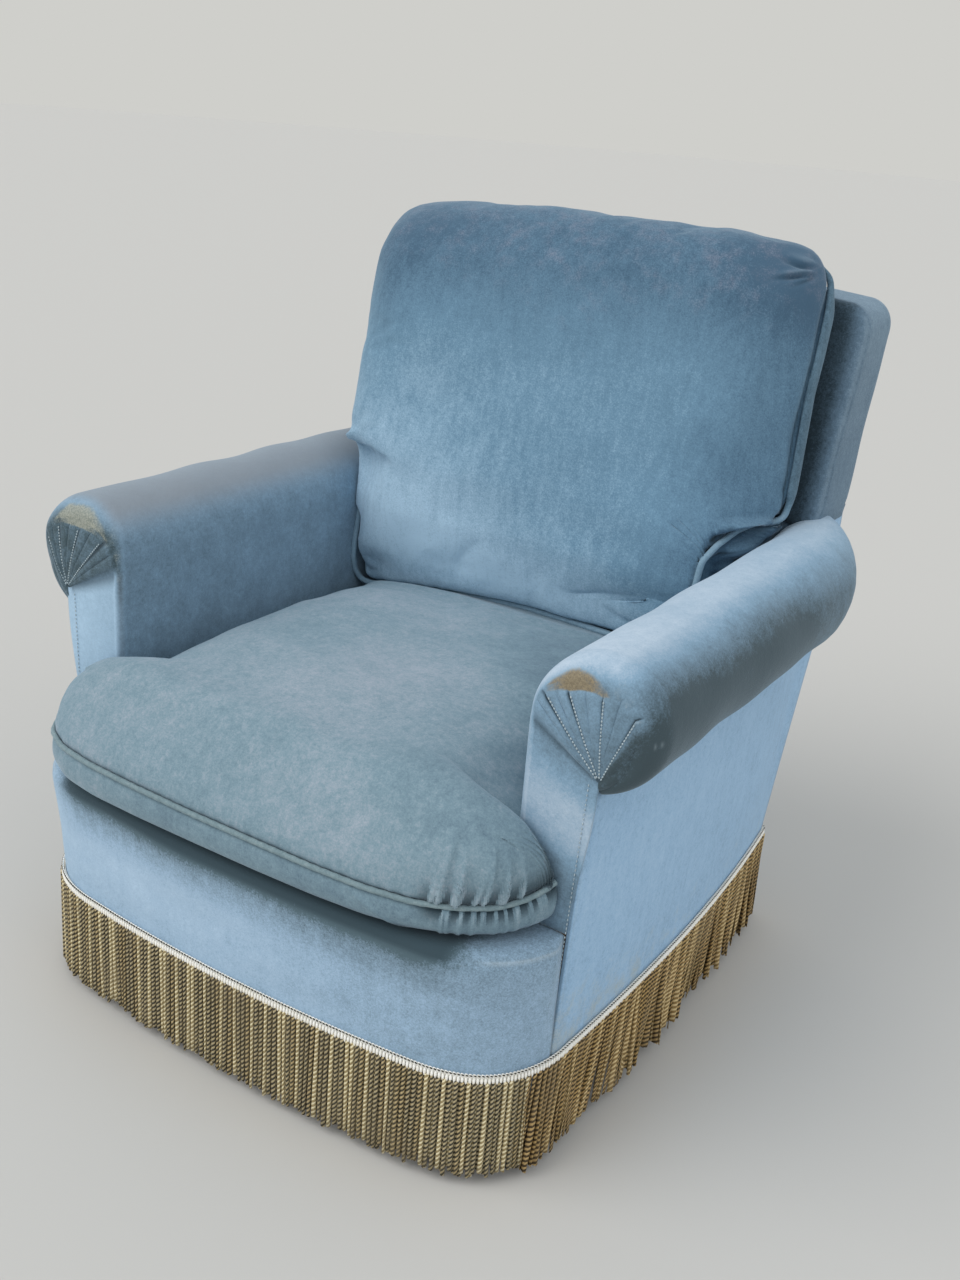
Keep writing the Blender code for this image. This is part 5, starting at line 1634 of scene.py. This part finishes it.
    # on the right side of the chair they also lean forwards
    onRight = {0: apart["X"], 1: 0.335, 2: 0.350, 4: given["Lean"]}
    onRight = addNode(tree, "ShaderNodeMapRange", onRight, interpolation_type="SMOOTHSTEP")
    lean = addNode(tree, "ShaderNodeMath", {0: below, 1: onRight}, operation="MULTIPLY")
    lean = addNode(tree, "ShaderNodeCombineXYZ", {"Y": lean})
    vector = addNode(tree, "ShaderNodeVectorMath", {0: vector, 1: lean}, operation="ADD")
    shifted = addNode(tree, "GeometryNodeSetPosition", {"Geometry": real, "Offset": vector})
    painted = addNode(tree, "GeometryNodeSetMaterial", {"Geometry": shifted, "Material": material})
    addNode(tree, "NodeGroupOutput", {0: painted}, None)
    return tree


def rowAlong(name, paths, shapeKind, material, closed, sizes):
    mesh = bpy.data.meshes.new(name)
    points, edges = [], []
    for path in paths:
        first, count = len(points), len(path)
        points += [tuple(point) for point in path]
        edges += [(first + i, first + (i + 1) % count) for i in range(count if closed else count - 1)]
    mesh.from_pydata(points, edges, [])
    obj = newObject(name, mesh)
    tree = rowTree(name, shapeKind, material)
    maker = obj.modifiers.new("row", "NODES")
    maker.node_group = tree
    for item in tree.interface.items_tree:
        if item.in_out == "INPUT" and item.name in sizes:
            maker[item.identifier] = sizes[item.name]
    return settled(obj)


def baseLoop(distance, z):  # the line round the base, as the trimmings follow it
    rear = rearDepth(base["trimTop"]) + 0.0006
    half = baseHalf(rear - 0.004)
    turn = [(half[-1, 0] - 0.004, rear), (0.15, rear), (0.0, rear)]
    half = np.concatenate([half, turn])
    path = mirrored(half)[:-1]
    thrice = np.concatenate([path, path, path])
    moved = offsetPath(thrice, distance)[len(path) : 2 * len(path)]
    moved = smoothed(resample(np.concatenate([moved, moved[:1]]), 1601)[:-1], 3, closed=True)
    return np.column_stack([moved[:, 0], yAt(moved[:, 1]), np.full(len(moved), z)])


fringe = {
    "top": 0.1325,
    "bottom": 0.0095,
    "cordRadius": 0.0023,
    "twist": 0.0125,  # one full turn of the two pairs of strands
    # the row of cords in front and the one behind it: how far out they hang and how much lower,
    # how they hang all round the chair, and how on the right side, where they've come loose
    "outerRow": {
        "out": 0.0048,
        "lower": 0.0,
        "uneven": 0.07,
        "seed": 3,
        "even": {"Spacing": 0.0063, "Sway": 0.07, "Lean": 0.0},
        "loose": {"Spacing": 0.007686, "Sway": 0.30, "Lean": -0.14},
    },
    "innerRow": {
        "out": 0.0014,
        "lower": 0.0005,
        "uneven": 0.14,
        "seed": 11,
        "even": {"Spacing": 0.0063, "Sway": 0.05, "Lean": 0.0},
        "loose": {"Spacing": 0.0103761, "Sway": 0.24, "Lean": -0.14},
    },
    # the woven heading: a tape, and rows of thread along it by colour, how far out, height and first point
    "tapeOut": 0.0018,
    "tapeHeights": (0.1296, 0.1345, 0.1392),
    "tapeThickness": 0.0012,
    "headingRows": {
        "headingRibs": ("cream", 0.0040, 0.1342, 0),
        "headingRope": ("cream", 0.0038, 0.1416, 0),
        # dark beads between the rope's cream ones, a little lower: partly a dark thread in the rope, partly
        # painted shadow under it
        "headingDarkThreadAndShadow": ("dark", 0.0044, 0.1412, 1),
    },
    "headingSizes": {
        "headingRibs": {"Spacing": 0.0040, "Size": (0.0017, 0.0016, 0.0050), "Uneven": 0.12, "Seed": 5},
        "headingRope": {"Spacing": 0.0042, "Size": (0.0026, 0.0011, 0.0009), "Tilt": 0.45, "Seed": 5},
        "headingDarkThreadAndShadow": {"Spacing": 0.0042, "Size": (0.0019, 0.0010, 0.0010), "Tilt": 0.45, "Seed": 5},
    },
}


def cordMaterial(name, look, colours):
    # mercerised cotton cord, two pairs of strands laid up together: slanting stripes, with painted shade in
    # the grooves between the strands
    material, tree, shader = newMaterial(name, {"Roughness": 0.75, "Specular IOR Level": 0.3})
    place = addNode(tree, "ShaderNodeAttribute", output="Vector", attribute_name="cordPlace")
    tone = addNode(tree, "ShaderNodeAttribute", output="Fac", attribute_name="cordTone")
    place = addNode(tree, "ShaderNodeSeparateXYZ", {0: place}, None).outputs
    # turn: how far round the spiral, kept above zero for the fraction
    turn = addNode(tree, "ShaderNodeMath", {0: place["Y"], 1: place["X"]}, operation="ARCTAN2")
    turn = addNode(tree, "ShaderNodeMath", {0: turn, 1: 1 / math.tau, 2: 50.0}, operation="MULTIPLY_ADD")
    turn = {0: place["Z"], 1: -1 / look["twist"], 2: turn}
    turn = addNode(tree, "ShaderNodeMath", turn, operation="MULTIPLY_ADD")
    turn = addNode(tree, "ShaderNodeMath", {0: turn}, operation="FRACT")
    within = addNode(tree, "ShaderNodeMath", {0: turn, 1: 2.0}, operation="MULTIPLY")
    within = addNode(tree, "ShaderNodeMath", {0: within}, operation="FRACT")
    fromMiddle = addNode(tree, "ShaderNodeMath", {0: within, 1: 0.5}, operation="SUBTRACT")
    fromMiddle = addNode(tree, "ShaderNodeMath", {0: fromMiddle}, operation="ABSOLUTE")
    fromGroove = addNode(tree, "ShaderNodeMath", {0: fromMiddle, 1: 0.27}, operation="SUBTRACT")
    fromGroove = addNode(tree, "ShaderNodeMath", {0: fromGroove}, operation="ABSOLUTE")
    strand = {0: fromMiddle, 1: 0.32, 2: 0.22}
    strand = addNode(tree, "ShaderNodeMapRange", strand, interpolation_type="SMOOTHSTEP")
    # tone is each cord's place in the repeat of dark, dark, tan and cream cords
    colour = None
    for kind, least in (("dark", 0.0), ("gold", 0.55), ("cream", 0.75)):
        darker, lighter = (paint(value) for value in colours[kind])
        twined = addNode(tree, "ShaderNodeMix", {0: strand, 6: darker, 7: lighter}, 2, data_type="RGBA")
        if colour is None:
            colour = twined
            continue
        share = addNode(tree, "ShaderNodeMath", {0: tone, 1: least}, operation="GREATER_THAN")
        colour = addNode(tree, "ShaderNodeMix", {0: share, 6: colour, 7: twined}, 2, data_type="RGBA")
    where = addNode(tree, "ShaderNodeTexCoord", output="Object")
    fibre = addNode(tree, "ShaderNodeTexNoise", {"Vector": where, "Scale": 900, "Detail": 2.0})
    dust = addNode(tree, "ShaderNodeTexNoise", {"Vector": where, "Scale": 14, "Detail": 3.0})
    dust = {0: dust, 1: 0.45, 2: 0.75, 4: 0.35}
    dust = addNode(tree, "ShaderNodeMapRange", dust, interpolation_type="SMOOTHSTEP")
    colour = {0: dust, 6: colour, 7: paint("#8d7f66")}
    colour = addNode(tree, "ShaderNodeMix", colour, 2, data_type="RGBA")
    # fine fibres, and painted shade in the grooves between the strands
    for source, start, end, low, high in (
        (fibre, 0.2, 0.8, 0.82, 1.15),
        (fromGroove, 0.0, 0.10, 0.55, 1.0),
    ):
        shade = {0: source, 1: start, 2: end, 3: low, 4: high}
        shade = addNode(tree, "ShaderNodeMapRange", shade, interpolation_type="SMOOTHSTEP")
        colour = {0: 1.0, 6: colour, 7: shade}
        colour = addNode(tree, "ShaderNodeMix", colour, 2, data_type="RGBA", blend_type="MULTIPLY")
    tree.links.new(colour, shader.inputs["Base Color"])
    height = addNode(tree, "ShaderNodeMath", {0: fromGroove, 1: 0.5}, operation="POWER")
    bump = addNode(tree, "ShaderNodeBump", {"Strength": 0.8, "Distance": 0.0010, "Height": height})
    tree.links.new(bump, shader.inputs["Normal"])
    return material


def threadMaterial(name, light, dark, scale):
    # soft cotton thread: matt with fine fibres
    material, tree, shader = newMaterial(name, {"Roughness": 0.85})
    where = addNode(tree, "ShaderNodeTexCoord", output="Object")
    fibre = {"Vector": where, "Scale": scale, "Detail": 3.0, "Roughness": 0.7}
    fibre = addNode(tree, "ShaderNodeTexNoise", fibre)
    grime = addNode(tree, "ShaderNodeTexNoise", {"Vector": where, "Scale": 22, "Detail": 2.0})
    colour = paint(dark)
    for source, start, end, most, other in ((fibre, 0.3, 0.7, 1.0, light), (grime, 0.5, 0.8, 0.4, dark)):
        share = {0: source, 1: start, 2: end, 4: most}
        share = addNode(tree, "ShaderNodeMapRange", share, interpolation_type="SMOOTHSTEP")
        colour = addNode(tree, "ShaderNodeMix", {0: share, 6: colour, 7: paint(other)}, 2, data_type="RGBA")
    tree.links.new(colour, shader.inputs["Base Color"])
    bump = addNode(tree, "ShaderNodeBump", {"Strength": 0.4, "Distance": 0.0003, "Height": fibre})
    tree.links.new(bump, shader.inputs["Normal"])
    return material


def stretchOf(loop, side):
    # the part of the closed line on one side of the chair; the front takes in both front corners
    x, depth = loop[:, 0], loop[:, 1] - armFrontY
    onFront = depth < -0.035
    onBack = (depth > 0.585) & (abs(x) < 0.325)
    onSide = ~onFront & ~onBack
    parts = {"Front": onFront, "Back": onBack, "Right": onSide & (x > 0), "Left": onSide & (x < 0)}
    chosen = parts[side]
    first = int(np.flatnonzero(chosen & ~np.roll(chosen, 1))[0])
    turned = np.roll(loop, -first, axis=0)
    return turned[: int(chosen.sum())]


cordColours = {  # the darker and the lighter strand of each kind of cord
    "dark": ("#3c382f", "#b6a783"),
    "gold": ("#464032", "#bda97e"),
    "cream": ("#9f8c62", "#ecdfb9"),
}
tannedColours = {
    "dark": ("#4b3d29", "#b99c6a"),
    "gold": ("#4f4029", "#bd9e67"),
    "cream": ("#967a4b", "#e0c795"),
}


def makeFringe(look):
    plain = cordMaterial("twisted cotton bullion cord", look, cordColours)
    tanned = cordMaterial("twisted cotton bullion cord, tanned by the sun", look, tannedColours)
    threads = {
        "cream": threadMaterial("undyed cotton braid", "#ffffff", "#f1ecdd", 700),
        "dark": threadMaterial("dark cotton thread", "#4b473c", "#2c2a24", 700),
    }
    size = (look["cordRadius"], look["cordRadius"], look["top"] - look["bottom"])
    for number, side in enumerate(("Front", "Right", "Back", "Left")):
        cord, hung = (tanned, "loose") if side == "Right" else (plain, "even")
        for name, row, first, replaced in (
            ("fringe", look["outerRow"], 0, (f"fringe_{side.lower()}",)),
            ("fringeBehind", look["innerRow"], 3, ()),
        ):
            sizes = {"Size": size, "Uneven": row["uneven"], "Top": look["top"], "Seed": row["seed"] + number}
            path = stretchOf(baseLoop(row["out"], look["top"] - row["lower"]), side)[first:]
            obj = rowAlong(name + side, [path], "cord", cord, False, {**sizes, **row[hung]})
            finishPiece(obj, cord, replaced)
    band = [baseLoop(look["tapeOut"], z) for z in look["tapeHeights"]]
    tape = gridObject("headingTape", [np.concatenate([row, row[:1]]) for row in band])
    thickened(tape, look["tapeThickness"])
    finishPiece(tape, threads["cream"])
    for name, (colour, out, z, first) in look["headingRows"].items():
        path = np.roll(baseLoop(out, z), first, axis=0)
        obj = rowAlong(name, [path], "bead", threads[colour], True, look["headingSizes"][name])
        finishPiece(obj, threads[colour])


makeFringe(fringe)
print("fringe hung")

stitches = {
    "cornerStitches": {"Spacing": 0.0052, "Size": (0.0018, 0.0006, 0.0006), "Uneven": 0.1, "Seed": 2},
    "pleatStitches": {"Spacing": 0.0036, "Size": (0.0014, 0.0010, 0.0009), "Uneven": 0.1, "Seed": 2},
}


def makeSeamStitches(look):
    thread = threadMaterial("blue linen sewing thread", "#c2ced3", "#8a9da6", 900)
    for side, sign in (("Right", 1), ("Left", -1)):
        heights = np.linspace(base["trimTop"] + 0.002, armSides[side]["gatherPoint"][1] - 0.006, 60)
        corner = [(sign * (panelX(0.0, z) - 0.0040), yAt(-0.0022), z) for z in heights]
        for name, paths in (("cornerStitches", [corner]), ("pleatStitches", pleatLines[side])):
            obj = rowAlong(name + side, paths, "bead", thread, False, look[name])
            finishPiece(obj, thread)


makeSeamStitches(stitches)
print("seams sewn")


# ---- carried-over frame, springs and stuffing

# the two colours, copies of the grain per metre along x, y and z, roughness, metallic
frameLooks = {
    "beech": ("#c79f72", "#a87c50", (6, 6, 60), 0.5, 0.0),
    "stained_beech": ("#5a3522", "#38200f", (60, 60, 6), 0.4, 0.0),
    "jute": ("#a58a60", "#7a6344", (500, 500, 500), 0.95, 0.0),
    "hessian": ("#b39a70", "#86704c", (700, 700, 700), 0.95, 0.0),
    "hair_stuffing": ("#5a4a3b", "#2b231c", (260, 260, 260), 1.0, 0.0),
    "calico": ("#3a3a3a", "#242424", (900, 900, 900), 0.9, 0.0),
    "spring_steel": ("#8d8a84", "#6a5d50", (120, 120, 120), 0.4, 1.0),
}


def frameMaterial(name, look):
    # sawn wood, jute, hair or drawn wire: a two-coloured grain, drawn out where the stuff has a direction
    light, dark, scale, roughness, metallic = look
    material, tree, shader = newMaterial(name, {"Roughness": roughness, "Metallic": metallic})
    where = addNode(tree, "ShaderNodeTexCoord", output="Object")
    drawn = addNode(tree, "ShaderNodeMapping", {"Vector": where, "Scale": scale})
    grain = {"Vector": drawn, "Scale": 1.0, "Detail": 4.0, "Roughness": 0.6}
    grain = addNode(tree, "ShaderNodeTexNoise", grain)
    share = addNode(tree, "ShaderNodeMapRange", {0: grain, 1: 0.3, 2: 0.7}, interpolation_type="SMOOTHSTEP")
    colour = {0: share, 6: paint(dark), 7: paint(light)}
    colour = addNode(tree, "ShaderNodeMix", colour, 2, data_type="RGBA")
    tree.links.new(colour, shader.inputs["Base Color"])
    bump = addNode(tree, "ShaderNodeBump", {"Strength": 0.3, "Distance": 0.0004, "Height": grain})
    tree.links.new(bump, shader.inputs["Normal"])
    return material


frameMaterials = {name: frameMaterial(name.replace("_", " "), look) for name, look in frameLooks.items()}
for node in nodes.values():
    if not node.hide_render:
        for holder in node.material_slots:
            holder.material = frameMaterials[holder.material.name.split(".")[0]]
print("frame finished")
